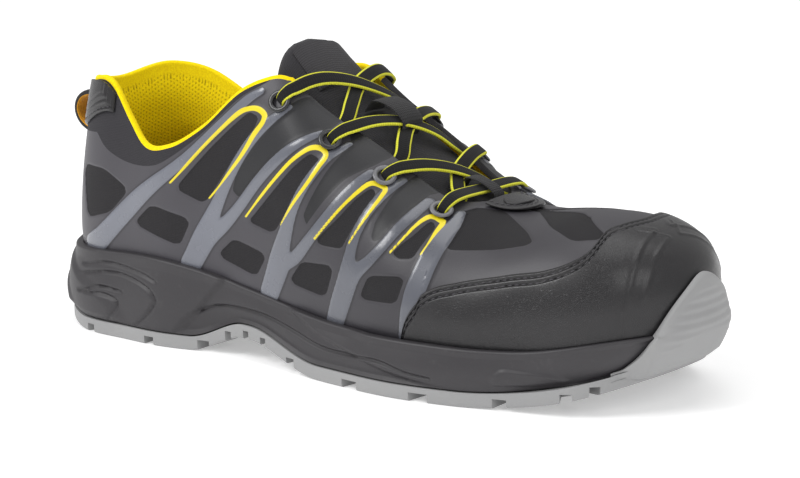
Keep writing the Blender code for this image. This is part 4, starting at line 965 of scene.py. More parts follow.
    def fields(self, at: Array, arc: Array) -> dict[str, Array]:
        """Distances of the pattern's parts at stations and arcs.

        Args:
            at: stations (n, m), metres.
            arc: arcs from the feather (n, m), metres.

        Returns:
            Name to millimetres, negative inside.
        """
        spots = np.stack([at, arc], -1).reshape(-1, 2) * MM_PER_M
        rib = np.full(len(spots), self.far)
        for stroke in self.ribs.values():
            rib = soft_least(rib, stroke_distance(spots, self.land_stroke(stroke)), self.rib_merge)
        found = {"rib": rib}
        arches = [self.land_stroke(stroke, self.arch_slim) for stroke in self.arches]
        found["arch"] = np.min([stroke_distance(spots, arch) for arch in arches], axis=0)
        for name, outlines in (("window", self.windows), ("panel", self.panels)):
            landed = [self.land_line(rounded(outline)) for outline in outlines]
            found[name] = np.min([outline_distance(spots, outline) for outline in landed], axis=0)
        found["window"] = found["window"] - self.window_grow
        band = self.land_line(smoothed(self.collar, self.fine))
        band = band[np.argsort(band[:, 0])]
        behind = np.interp(spots[:, 0], band[:, 0], band[:, 1])
        found["collar"] = np.where(spots[:, 0] > band[-1, 0] + 6, self.far, behind - spots[:, 1])
        return {name: np.clip(value, -self.far, self.far).reshape(at.shape) for name, value in found.items()}


class MeshBuilder:
    """Grids gathered into one mesh, with values on the points and a slot on each face."""

    def __init__(self) -> None:
        """Starts empty."""
        self.points: list[Array] = []
        self.faces: list[Array] = []
        self.slots: list[Array] = []
        self.values: list[dict[str, Array]] = []
        self.count = 0

    def grid(
        self,
        points: Array,
        slot: int | Array = 0,
        flip: bool = False,
        values: dict[str, Array] | None = None,
        ring: bool = False,
        keep: Array | None = None,
    ) -> None:
        """Adds a grid of quads.

        Args:
            points: (n, m, 3) places; n runs along, m across.
            slot: material slot, one or one per quad (n - 1, m - 1).
            flip: turns the faces over.
            values: name to (n, m) values on the points.
            ring: joins the last column to the first.
            keep: which quads are made (n - 1, m - 1).
        """
        rows, columns = points.shape[:2]
        index = self.count + np.arange(rows * columns).reshape(rows, columns)
        if ring:
            index = np.concatenate([index, index[:, :1]], axis=1)
        quads = np.stack([index[:-1, :-1], index[1:, :-1], index[1:, 1:], index[:-1, 1:]], -1)
        slots = np.broadcast_to(slot, quads.shape[:2])
        chosen = np.ones(quads.shape[:2], bool) if keep is None else keep
        quads = quads[chosen]
        self.faces.append(quads[:, ::-1] if flip else quads)
        self.slots.append(slots[chosen])
        self.points.append(points.reshape(-1, 3))
        given = (values or {}).items()
        self.values.append({name: np.broadcast_to(v, (rows, columns)).reshape(-1) for name, v in given})
        self.count += rows * columns

    def tube(self, rings: Array, values: dict[str, Array], slot: int | Array = 0) -> None:
        """Adds a row of rings (n, m, 3) and closes both of its ends."""
        self.grid(rings, slot, values=values, ring=True)
        for end in (0, -1):
            centre = np.broadcast_to(rings[end].mean(axis=0), rings[end].shape)
            doubled = {name: np.stack([value[end]] * 2) for name, value in values.items()}
            self.grid(np.stack([rings[end], centre]), values=doubled, ring=True)

    def build(self, name: str, materials: Sequence[Material], sharp: float = 60.0) -> Object:
        """Merges doubled points and makes the object.

        Args:
            name: the object's name.
            materials: one material per slot.
            sharp: angle in degrees past which an edge isn't smooth.

        Returns:
            The linked object.
        """
        mesh = bpy.data.meshes.new(name)
        mesh.from_pydata(np.concatenate(self.points).tolist(), [], np.concatenate(self.faces).tolist())
        names = {key for values in self.values for key in values}
        for key in sorted(names):
            whole = [values.get(key, np.zeros(len(part))) for values, part in zip(self.values, self.points)]
            layer = mesh.attributes.new(key, "FLOAT", "POINT")
            layer.data.foreach_set("value", np.concatenate(whole).astype(np.float32))
        for material in materials:
            mesh.materials.append(material)
        mesh.polygons.foreach_set("material_index", np.concatenate(self.slots).astype(np.int32))
        work = bmesh.new()
        work.from_mesh(mesh)
        bmesh.ops.remove_doubles(work, verts=work.verts, dist=1.5e-5)
        bmesh.ops.recalc_face_normals(work, faces=work.faces)
        work.to_mesh(mesh)
        work.free()
        mesh.shade_smooth()
        mesh.set_sharp_from_angle(angle=math.radians(sharp))
        return placed(name, mesh)


def baked(obj: Object, name: str) -> Object:
    """The evaluated shape of an object as a plain mesh object; the source is removed."""
    graph = bpy.context.evaluated_depsgraph_get()
    mesh = bpy.data.meshes.new_from_object(obj.evaluated_get(graph))
    mesh.name = name
    plain = placed(name, mesh)
    bpy.data.objects.remove(obj)
    plain.name = name
    return plain


class NodeWork:
    """A node tree under construction."""

    tree: bpy.types.NodeTree

    def node(
        self,
        kind: str,
        settings: dict[str, object] | None = None,
        inputs: dict[str | int, object] | None = None,
    ) -> bpy.types.Node:
        """Adds a node.

        Args:
            kind: node type.
            settings: properties, set first.
            inputs: socket name or number to a number, colour, Value or socket.

        Returns:
            The node.
        """
        made = self.tree.nodes.new(kind)
        for key, value in (settings or {}).items():
            setattr(made, key, value)
        for key, value in (inputs or {}).items():
            self.feed(made.inputs[key], value)
        return made

    def feed(self, socket: Socket, value: object) -> None:
        """Sets or links a socket."""
        if isinstance(value, Value):
            value = value.socket
        if isinstance(value, Socket):
            self.tree.links.new(value, socket)
        else:
            socket.default_value = value


class NodeRecipe(NodeWork):
    """A Geometry Nodes tree under construction."""

    def __init__(self, name: str, sizes: dict[str, float]) -> None:
        """Makes the group with a geometry input, named sizes and a material."""
        self.tree = bpy.data.node_groups.new(name, "GeometryNodeTree")
        face = self.tree.interface
        face.new_socket("Geometry", in_out="INPUT", socket_type="NodeSocketGeometry")
        self.sockets: dict[str, str] = {}
        for label in sizes:
            item = face.new_socket(label, in_out="INPUT", socket_type="NodeSocketFloat")
            self.sockets[label] = item.identifier
        item = face.new_socket("Material", in_out="INPUT", socket_type="NodeSocketMaterial")
        self.sockets["Material"] = item.identifier
        face.new_socket("Geometry", in_out="OUTPUT", socket_type="NodeSocketGeometry")
        self.sizes = sizes
        self.source = self.tree.nodes.new("NodeGroupInput")

    def vector(self, **axes: object) -> Socket:
        """A vector of sizes; an axis left out is 0."""
        return self.node("ShaderNodeCombineXYZ", inputs=axes).outputs[0]

    def moved(self, geometry: Socket, **how: object) -> Socket:
        """Geometry with a Translation or a Scale."""
        return self.node("GeometryNodeTransform", inputs={"Geometry": geometry, **how}).outputs[0]

    def facing(self, axis: str, vector: object, pivot: str = "AUTO", **start: object) -> object:
        """A rotation that turns an axis to a vector, from another Rotation if one is given."""
        settings, inputs = {"axis": axis, "pivot_axis": pivot}, {"Vector": vector, **start}
        return self.node("FunctionNodeAlignRotationToVector", settings, inputs).outputs[0]

    def surface_up(self) -> Socket:
        """The surface's normal, kept on the points."""
        settings, inputs = {"data_type": "FLOAT_VECTOR"}, {"Name": "surface_up"}
        return self.node("GeometryNodeInputNamedAttribute", settings, inputs).outputs["Attribute"]

    def size(self, label: str) -> Socket:
        """The output of a named size."""
        return self.source.outputs[label]

    def finish(self, geometry: Socket) -> None:
        """Realizes, sets the material and ends the tree."""
        real = self.node("GeometryNodeRealizeInstances", inputs={0: geometry})
        dressed = {"Geometry": real.outputs[0], "Material": self.size("Material")}
        coat = self.node("GeometryNodeSetMaterial", inputs=dressed)
        end = self.tree.nodes.new("NodeGroupOutput")
        self.tree.links.new(coat.outputs[0], end.inputs[0])

    def apply(self, source: Object, name: str, material: Material) -> Object:
        """Runs the tree on an object and returns the plain result."""
        modifier = source.modifiers.new(self.tree.name, "NODES")
        modifier.node_group = self.tree
        for label, value in self.sizes.items():
            modifier[self.sockets[label]] = value
        modifier[self.sockets["Material"]] = material
        made = baked(source, name)
        made.data.shade_smooth()
        return made


def path_object(name: str, lines: Sequence[Array], ups: Sequence[Array]) -> Object:
    """Lines of points joined by edges, each point with the surface's normal."""
    mesh = bpy.data.meshes.new(name)
    points, edges = [], []
    for line in lines:
        first = len(points)
        points += [tuple(p) for p in line]
        edges += [(first + k, first + k + 1) for k in range(len(line) - 1)]
    mesh.from_pydata(points, edges, [])
    layer = mesh.attributes.new("surface_up", "FLOAT_VECTOR", "POINT")
    layer.data.foreach_set("vector", np.concatenate(list(ups)).astype(np.float32).reshape(-1))
    return placed(name, mesh)


@dataclass(frozen=True)
class StitchRow:
    """A sewn row of stitches along lines on a surface."""

    spacing: float = 0.0028
    length: float = 0.0021
    thickness: float = 0.0007

    def sew(self, name: str, lines: Sequence[Array], ups: Sequence[Array], thread: Material) -> Object:
        """Lays the stitches.

        Args:
            name: the object's name.
            lines: points of each row.
            ups: surface normals at those points.
            thread: the thread's material.

        Returns:
            A plain mesh of stitches.
        """
        sizes = {"Spacing": self.spacing, "Length": self.length, "Thickness": self.thickness}
        recipe = NodeRecipe(f"{name}_stitches", sizes)
        curve = recipe.node("GeometryNodeMeshToCurve", inputs={0: recipe.source.outputs["Geometry"]})
        spots = recipe.node(
            "GeometryNodeCurveToPoints",
            {"mode": "LENGTH"},
            {"Curve": curve.outputs[0], "Length": recipe.size("Spacing")},
        )
        ahead = recipe.facing("X", spots.outputs["Tangent"])
        stood = recipe.facing("Z", recipe.surface_up(), "X", Rotation=ahead)
        ball = recipe.node("GeometryNodeMeshUVSphere", inputs={"Segments": 6, "Rings": 5, "Radius": 0.5})
        thick = recipe.size("Thickness")
        laid = recipe.node(
            "GeometryNodeInstanceOnPoints",
            inputs={
                "Points": spots.outputs["Points"],
                "Instance": ball.outputs["Mesh"],
                "Rotation": stood,
                "Scale": recipe.vector(X=recipe.size("Length"), Y=thick, Z=thick),
            },
        )
        recipe.finish(laid.outputs[0])
        return recipe.apply(path_object(name, lines, ups), name, thread)


def linear(red: float, green: float, blue: float) -> tuple[float, float, float, float]:
    """Scene colour of a display colour given from 0 to 255."""
    parts = [v / 255 for v in (red, green, blue)]
    parts = [v / 12.92 if v <= 0.04045 else ((v + 0.055) / 1.055) ** 2.4 for v in parts]
    return (parts[0], parts[1], parts[2], 1.0)


def operator(operation: str, swapped: bool = False) -> Callable[..., "Value"]:
    """A method of Value that adds a Math node; swapped puts the other number first."""

    def act(value: "Value", *others: "Value | float") -> "Value":
        """Adds the node."""
        return value.math(operation, first=others[0]) if swapped else value.math(operation, *others)

    return act


class Value:
    """A number socket of a shader that takes part in Python sums.

    sine, size, part, power, least and most are the sine, the absolute value, what is left past a whole
    number, a power, the lesser and the greater of two.
    """

    def __init__(self, paint: "Paint", socket: Socket) -> None:
        """Wraps a socket."""
        self.paint = paint
        self.socket = socket

    def math(self, operation: str, *others: "Value | float", first: "float | None" = None) -> "Value":
        """A Math node on this value.

        Args:
            operation: the node's operation.
            others: the further operands.
            first: a number that stands before this value.

        Returns:
            The result.
        """
        operands = [self, *others] if first is None else [first, self, *others]
        inputs = {k: operand for k, operand in enumerate(operands)}
        return self.paint.value("ShaderNodeMath", {"operation": operation}, inputs)

    __add__ = __radd__ = operator("ADD")
    __mul__ = __rmul__ = operator("MULTIPLY")
    __sub__, __rsub__ = operator("SUBTRACT"), operator("SUBTRACT", swapped=True)
    __truediv__, power = operator("DIVIDE"), operator("POWER")
    sine, size, part = operator("SINE"), operator("ABSOLUTE"), operator("FRACT")
    least, most = operator("MINIMUM"), operator("MAXIMUM")

    def rise(self, low: float, high: float) -> "Value":
        """0 at low, 1 at high, smooth between; low may be the greater."""
        sockets = {"Value": self, "From Min": low, "From Max": high}
        return self.paint.value("ShaderNodeMapRange", {"interpolation_type": "SMOOTHSTEP"}, sockets)


class Paint(NodeWork):
    """One material under construction."""

    def __init__(self, name: str) -> None:
        """Starts a material with its Principled shader."""
        self.material = bpy.data.materials.new(name)
        self.material.use_nodes = True
        self.tree = self.material.node_tree
        self.shader = self.tree.nodes["Principled BSDF"]

    def value(
        self, kind: str, settings: dict[str, object] | None, inputs: dict[str | int, object], output: int = 0
    ) -> Value:
        """A node's number output."""
        return Value(self, self.node(kind, settings, inputs).outputs[output])

    def field(self, name: str) -> Value:
        """The piece's own value of a name."""
        made = self.node("ShaderNodeAttribute", {"attribute_name": name})
        return Value(self, made.outputs["Fac"])

    def place(self) -> Socket:
        """Object coordinates."""
        return self.node("ShaderNodeTexCoord").outputs["Object"]

    def noise(self, scale: float, detail: float = 3.0, where: object = None, rough: float = 0.5) -> Value:
        """Cloudy noise round 0.5."""
        inputs = {"Vector": where or self.place(), "Scale": scale, "Detail": detail, "Roughness": rough}
        return self.value("ShaderNodeTexNoise", None, inputs)

    def cells(self, scale: float, where: object = None, feature: str = "F1") -> Value:
        """Distance to scattered cell centres or to their borders."""
        inputs = {"Vector": where or self.place(), "Scale": scale}
        return self.value("ShaderNodeTexVoronoi", {"feature": feature}, inputs)

    def mix(self, share: Value | float, first: object, second: object) -> Socket:
        """A colour between two."""
        return self.node("ShaderNodeMix", {"data_type": "RGBA"}, {0: share, 6: first, 7: second}).outputs[2]

    def blend(self, share: Value, first: Value | float, second: Value | float) -> Value:
        """A number between two."""
        return self.value("ShaderNodeMix", {"data_type": "FLOAT"}, {0: share, 2: first, 3: second})

    def bump(self, height: Value, distance: float, strength: float = 1.0) -> Socket:
        """A normal bumped by a height."""
        inputs = {"Height": height, "Distance": distance, "Strength": strength}
        return self.node("ShaderNodeBump", None, inputs).outputs[0]

    def finish(self, **sockets: object) -> Material:
        """Feeds the shader; socket names are written with underscores."""
        for name, value in sockets.items():
            self.feed(self.shader.inputs[name.replace("_", " ")], value)
        return self.material


class Cloth(Enum):
    """Kinds of woven or knitted ground: threads per metre across, and how deep they stand."""

    FINE = (1500.0, 0.00010)
    COARSE = (900.0, 0.00018)
    TAPE = (1100.0, 0.00022)


def weave(paint: Paint, kind: Cloth, first: Value, second: Value) -> Value:
    """Height of a plain weave on two millimetre coordinates.

    Args:
        paint: the material; not used.
        kind: how fine the weave is.
        first: coordinate along the warp, millimetres.
        second: coordinate along the weft, millimetres.

    Returns:
        Height from 0 to 1.
    """
    turn = kind.value[0] / MM_PER_M * math.pi
    warp, weft = (first * turn).sine(), (second * turn).sine()
    return (warp * weft).size().power(0.6)


@dataclass(frozen=True)
class FilmFinish:
    """Upper: textile ground, film panels, moulded ribs, bright arches, a cloth collar band and painted shade
    towards the toe.
    """

    film: tuple = linear(63, 61, 66)
    cloth: tuple = linear(38, 36, 39)
    panel: tuple = linear(25, 25, 29)
    rib: tuple = linear(102, 104, 113)
    arch: tuple = linear(232, 212, 30)
    band: tuple = linear(52, 50, 55)

    def material(self) -> Material:
        """Builds the finish from the piece's own distances."""
        paint = Paint("upper_film")
        along, up = paint.field("along"), paint.field("up")
        window = paint.field("window").rise(0.15, -0.15)
        panel = paint.field("panel").rise(0.15, -0.15)
        rib = paint.field("rib").rise(0.18, -0.18)
        arch = paint.field("arch").rise(0.15, -0.15)
        band = paint.field("collar").rise(0.15, -0.15)
        cloudy = paint.noise(90.0, 4.0)
        threads = weave(paint, Cloth.FINE, along, up)
        grain = paint.cells(1700.0, feature="SMOOTH_F1")
        base = paint.mix(cloudy, self.film, linear(71, 69, 75))
        dark = paint.mix(threads, linear(24, 22, 25), self.cloth)
        colour = paint.mix(panel, base, self.panel)
        colour = paint.mix(window, colour, dark)
        colour = paint.mix(band, colour, paint.mix(threads, linear(36, 35, 38), self.band))
        edge = paint.field("rib").rise(1.1, 0.1) * (1 - rib)
        colour = paint.mix(edge * 0.55, colour, linear(30, 29, 32))
        colour = paint.mix(rib, colour, paint.mix(paint.noise(60.0), self.rib, linear(116, 119, 129)))
        # painted shade: the film darkens towards the toe, from 90 to 200 mm along, as if less light reaches
        # the front; the arches are left bright
        front = along.rise(90.0, 200.0) * 0.35 * (1 - arch)
        colour = paint.mix(front, paint.mix(arch, colour, self.arch), linear(24, 23, 25))
        soft = window.most(band) * (1 - rib) * (1 - arch)
        rough = paint.blend(soft, paint.blend(panel, 0.46, 0.52), 0.88)
        rough = paint.blend(rib, rough, 0.27)
        rough = paint.blend(arch, rough, 0.42)
        height = paint.blend(soft, grain * 0.25, threads)
        return paint.finish(
            Base_Color=colour,
            Roughness=rough + (cloudy - 0.5) * 0.08,
            Coat_Weight=(rib * 0.4).most(panel * 0.05) * (1 - soft),
            Coat_Roughness=0.18,
            Normal=paint.bump(height * (1 - rib * 0.9), 0.00008),
        )


@dataclass(frozen=True)
class LiningFinish:
    """Padded collar lining and inner mesh: bright knit with small dark dots, and painted shade deep inside
    the shoe.
    """

    bright: tuple = linear(255, 229, 0)
    # painted shade: the darker colour the lining takes deep inside the shoe
    deep: tuple = linear(110, 98, 14)
    pitch: float = 1.75

    def material(self) -> Material:
        """Builds the finish."""
        paint = Paint("lining_mesh")
        along, up = paint.field("along"), paint.field("up")
        rows = (along / self.pitch).part() - 0.5
        odd = (along / self.pitch).math("FLOOR").math("MODULO", 2.0)
        shifted = (up / self.pitch + 0.5 * odd).part() - 0.5
        away = (rows * rows + shifted * shifted).math("SQRT")
        dot = away.rise(0.30, 0.16) * paint.field("below").rise(2.5, 5.0)
        # painted shade: the lining darkens from 26 to 60 mm below the rim, where the inside of the shoe lies
        # in shade
        low = paint.field("below").rise(26.0, 60.0)
        knit = paint.noise(1500.0, 3.0)
        colour = paint.mix(knit.rise(0.3, 0.7), linear(240, 208, 0), self.bright)
        colour = paint.mix(low * 0.75, colour, self.deep)
        colour = paint.mix(dot * 0.38, colour, linear(120, 100, 6))
        return paint.finish(
            Base_Color=colour,
            Roughness=0.9,
            Specular_IOR_Level=0.25,
            Normal=paint.bump(knit * 0.6 - dot, 0.00016),
        )


@dataclass(frozen=True)
class LeatherFinish:
    """Toe guard, heel tab and keeper: dark smooth leather with a fine grain."""

    name: str = "smooth_leather"
    colour: tuple = linear(21, 19, 22)
    worn: tuple = linear(30, 28, 31)
    roughness: float = 0.38
    coat: float = 0.25

    def material(self) -> Material:
        """Builds the finish."""
        paint = Paint(self.name)
        cloudy = paint.noise(55.0, 5.0)
        grain = paint.cells(1500.0, feature="DISTANCE_TO_EDGE")
        pores = paint.noise(2600.0, 2.0)
        colour = paint.mix(cloudy.rise(0.45, 0.75) * 0.5, self.colour, self.worn)
        return paint.finish(
            Base_Color=colour,
            Roughness=self.roughness + (cloudy - 0.5) * 0.2 + (pores - 0.5) * 0.1,
            Coat_Weight=self.coat,
            Coat_Roughness=0.25,
            Normal=paint.bump(grain.rise(0.0, 0.12) + pores * 0.4, 0.00005),
        )


@dataclass(frozen=True)
class ClothFinish:
    """Woven cloth on the piece's own coordinates, or on Object coordinates."""

    name: str
    colour: tuple
    shade: tuple
    kind: Cloth = Cloth.FINE
    mapped: bool = True

    def material(self) -> Material:
        """Builds the finish."""
        paint = Paint(self.name)
        if self.mapped:
            first, second = paint.field("along"), paint.field("up")
        else:
            split = paint.node("ShaderNodeSeparateXYZ", None, {0: paint.place()})
            first, second = (Value(paint, split.outputs[k]) * MM_PER_M for k in (0, 1))
        threads = weave(paint, self.kind, first, second)
        cloudy = paint.noise(120.0, 4.0)
        colour = paint.mix((threads * 0.8 + cloudy * 0.3).least(1.0), self.shade, self.colour)
        return paint.finish(
            Base_Color=colour,
            Roughness=0.88 + (cloudy - 0.5) * 0.1,
            Sheen_Weight=0.10,
            Sheen_Roughness=0.5,
            Normal=paint.bump(threads, self.kind.value[1]),
        )


@dataclass(frozen=True)
class BraidFinish:
    """Lace: dark braid with a bright thread along both edges."""

    colour: tuple = linear(30, 29, 31)
    bright: tuple = linear(226, 226, 66)

    def material(self) -> Material:
        """Builds the finish; across runs from -1 to 1 over the lace's width."""
        paint = Paint("lace_braid")
        along, across = paint.field("along"), paint.field("across")
        edge = across.size().rise(0.74, 0.80)
        chevron = (along * 5.6 + across.size() * 5.0).sine()
        ribs = (across * 9.0).sine()
        height = (chevron * 0.6 + ribs * 0.4 + 1.0) * 0.5
        colour = paint.mix(height, linear(9, 9, 10), linear(22, 21, 23))
        bright = paint.mix(height, linear(200, 196, 40), self.bright)
        return paint.finish(
            Base_Color=paint.mix(edge, colour, bright),
            Roughness=0.85,
            Sheen_Weight=0.06,
            Specular_IOR_Level=0.3,
            Normal=paint.bump(height, 0.00007),
        )


@dataclass(frozen=True)
class MouldedFinish:
    """Moulded foam, rubber or plastic: colour, speckle, gloss and a fine skin."""

    name: str
    colour: tuple
    second: tuple
    roughness: float
    skin: float = 900.0
    depth: float = 0.00006
    coat: float = 0.0

    def material(self) -> Material:
        """Builds the finish."""
        paint = Paint(self.name)
        cloudy = paint.noise(45.0, 5.0)
        fine = paint.noise(self.skin, 3.0)
        scuff = paint.noise(220.0, 6.0, rough=0.7).rise(0.56, 0.72)
        colour = paint.mix(cloudy, self.colour, self.second)
        colour = paint.mix(scuff * 0.05, colour, linear(150, 148, 146))
        return paint.finish(
            Base_Color=colour,
            Roughness=self.roughness + (cloudy - 0.5) * 0.15 + scuff * 0.1,
            Coat_Weight=self.coat,
            Coat_Roughness=0.3,
            Normal=paint.bump(fine + scuff * 0.1, self.depth),
        )


@dataclass(frozen=True)
class StageFinish:
    """Plain pale floor."""

    colour: tuple = (0.90, 0.90, 0.90, 1.0)
    glow: float = 0.30

    def material(self) -> Material:
        """Builds the finish."""
        paint = Paint("stage_floor")
        glow = {"Emission_Color": (1.0, 1.0, 1.0, 1.0), "Emission_Strength": self.glow}
        return paint.finish(Base_Color=self.colour, Roughness=0.9, Specular_IOR_Level=0.1, **glow)


def made_of(finish: object) -> object:
    """A dataclass field that builds a finish's material."""
    return field(default_factory=finish.material)


@dataclass
class Finishes:
    """Every finish of the shoe, built once."""

    film: Material = made_of(FilmFinish())
    lining: Material = made_of(LiningFinish())
    leather: Material = made_of(LeatherFinish())
    binding: Material = made_of(ClothFinish("throat_binding", linear(60, 58, 62), linear(30, 29, 31)))
    tongue: Material = made_of(ClothFinish("tongue_cloth", linear(42, 40, 45), linear(24, 23, 26)))
    webbing: Material = made_of(
        ClothFinish("loop_webbing", linear(34, 33, 35), linear(14, 13, 14), Cloth.TAPE)
    )
    orange: Material = made_of(
        ClothFinish("loop_lining", linear(246, 176, 20), linear(190, 120, 12), Cloth.TAPE)
    )
    lace: Material = made_of(BraidFinish())
    foam: Material = made_of(
        MouldedFinish("midsole_foam", linear(48, 46, 49), linear(56, 54, 57), 0.50)
    )
    rubber: Material = made_of(
        MouldedFinish("outsole_rubber", linear(146, 146, 147), linear(158, 158, 158), 0.62)
    )
    dark_ring: Material = made_of(
        MouldedFinish("eyelet_plastic", linear(26, 26, 28), linear(38, 38, 40), 0.35, coat=0.3)
    )
    grey_ring: Material = made_of(
        MouldedFinish("eyelet_plastic_grey", linear(92, 92, 96), linear(108, 108, 112), 0.35, coat=0.3)
    )
    thread: Material = made_of(
        MouldedFinish("sewing_thread", linear(58, 57, 60), linear(84, 82, 86), 0.7, skin=3000.0)
    )


def replace_nodes(piece: Object, slot: str, *nodes: str) -> Object:
    """Rides a piece on the body and lets it stand for CAD nodes."""
    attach(piece, BODY)
    if nodes:
        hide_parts(*nodes)
    LOG.info("%s: %d faces", piece.name, len(piece.data.polygons))
    return piece


def thick_grids(
    builder: MeshBuilder,
    outer: Array,
    inner: Array,
    values: dict[str, Array],
    front: bool = False,
) -> None:
    """Adds a sheet with thickness: two grids and the strips that close their borders.

    Args:
        builder: the mesh.
        outer: outer grid (n, m, 3).
        inner: inner grid of the same size.
        values: values on the outer grid, used on the inner one too.
        front: whether the last row of the grid has a border of its own.
    """
    builder.grid(outer, values=values)
    builder.grid(inner, flip=True, values=values)
    for column in (0, -1):
        edge = {key: np.stack([v[:, column]] * 2, 1) for key, v in values.items()}
        builder.grid(np.stack([outer[:, column], inner[:, column]], axis=1), values=edge)
    for row in (0, -1) if front else (0,):
        edge = {key: np.stack([v[row]] * 2, 1) for key, v in values.items()}
        builder.grid(np.stack([outer[row], inner[row]], axis=1), values=edge)


@dataclass
class UpperShell:
    """The hollow upper with its pattern, rolled collar and eyestays."""

    last: Last
    pattern: PatternSheet
    finishes: Finishes
    stations: int = 340
    rows: int = 118
    inner_rows: int = 16
    rim_rows: int = 7
    collar_bulge: float = 0.0013
    stay_bulge: float = 0.0004
    collar_end: float = -0.0185
    edge_share: float = 0.985
    relief: dict[str, float] = table(
        {"rib": 0.00050, "arch": 0.00030, "window": -0.00045, "panel": -0.00025}
    )

    def spread(self) -> Array:
        """Stations, closer round the throat's end."""
        last = self.last
        turn = np.linspace(0, math.pi / 2, 22)
        own = last.station_at(last.throat_end - last.throat_round + last.throat_round * np.sin(turn))
        even = np.linspace(0, last.path, self.stations)
        far = np.min(np.abs(even[:, None] - own[None, :]), axis=1) > 0.0004
        return np.sort(np.concatenate([even[far], own]))

    def values(self, at: Array, side: int, shares: Array) -> dict[str, Array]:
        """The pattern's distances and the surface's millimetre coordinates."""
        cut, ridge = self.last.arcs(at, side)
        _, lateral = self.last.arcs(at, Side.LATERAL)
        arc = shares * cut[:, None]
        along = per_row(at, arc)
        found = self.pattern.fields(along, arc * (lateral / ridge)[:, None])
        found.update(along=along * MM_PER_M, up=arc * MM_PER_M, below=(cut[:, None] - arc) * MM_PER_M)
        return found

    def raised(self, values: dict[str, Array]) -> Array:
        """Relief of the pattern, metres."""
        whole = np.zeros(values["rib"].shape)
        cover = eased(-0.5, 0.5, -values["rib"])
        for name, height in self.relief.items():
            share = eased(-0.45, 0.45, -values[name])
            whole += height * share * (1 if name in ("rib", "arch") else 1 - cover)
        return whole

    def rim(self, at: Array, outer: Array, inner: Array, rise: Array) -> Array:
        """The rolled edge from the outer to the inner face, raised along the surface."""
        soft = eased(0, 0.008, self.last.throat_half(at))
        bulge = np.where(self.by_collar(at), self.collar_bulge, self.stay_bulge) * soft
        turn = np.linspace(0, math.pi, self.rim_rows + 2)
        share = ((1 - np.cos(turn)) / 2)[None, :, None]
        rim = outer[:, -1:] * (1 - share) + inner[:, -1:] * share
        return rim + rise * (bulge[:, None] * np.sin(turn))[..., None]

    def by_collar(self, at: Array) -> Array:
        """Whether stations lie beside the padded collar."""
        return at < self.last.station_at(self.collar_end)

    def half(self, builder: MeshBuilder, at: Array, side: int) -> None:
        """Adds one side: outer face, rolled edge, inner face and the strip under the foot."""
        last, count, flip = self.last, len(at), side == Side.MEDIAL
        shares = np.broadcast_to(np.linspace(0, 1, self.rows), (count, self.rows))
        inner_shares = np.broadcast_to(np.linspace(0, 1, self.inner_rows), (count, self.inner_rows))
        values = self.values(at, side, shares)
        raised = self.raised(values) * (1 - eased(self.edge_share, 1, shares))
        outer = last.form(at, side, shares) + last.normals(at, side, shares) * raised[..., None]
        depth = last.wall_depth(at, side, inner_shares)[..., None]
        inner = last.form(at, side, inner_shares) - last.normals(at, side, inner_shares) * depth
        full = np.ones((count, 1))
        rise = unit(last.form(at, side, full) - last.form(at, side, full * self.edge_share), 1e-9)
        collar = self.by_collar(at)[:-1]
        slot = np.zeros((count - 1, self.rows - 1), int)
        slot[:, -1] = np.where(collar, 1, 0)
        builder.grid(outer, slot, flip, values)
        zero = np.zeros((count, self.rim_rows + 2))
        around = np.cumsum(zero + 1, axis=1)
        rim_values = {"along": zero + at[:, None] * MM_PER_M, "up": around, "below": zero}
        rim_slot = np.where(collar, 1, 2)[:, None] + np.zeros((1, self.rim_rows + 1), int)
        open_top = last.throat_half(at) > 0
        keep = np.broadcast_to((open_top[1:] | open_top[:-1])[:, None], rim_slot.shape)
        builder.grid(self.rim(at, outer, inner, rise), rim_slot, flip, rim_values, keep=keep)
        arcs = last.arcs(at, side)[0][:, None] * MM_PER_M
        inner_values = {"along": per_row(at, inner_shares) * MM_PER_M, "up": inner_shares * arcs}
        inner_values["below"] = (1 - inner_shares) * arcs
        builder.grid(inner, 1, not flip, inner_values)
        foot = {key: value[:, :1] + np.zeros((1, 2)) for key, value in inner_values.items()}
        builder.grid(np.stack([inner[:, 0], outer[:, 0]], axis=1), 0, flip, foot)

    def make(self) -> Object:
        """Builds the closed shell and dresses it."""
        at, builder = self.spread(), MeshBuilder()
        for side in SIDES:
            self.half(builder, at, side)
        film = self.finishes
        upper = builder.build("upper_shell", [film.film, film.lining, film.binding])
        return replace_nodes(upper, "upper_film", "upper")


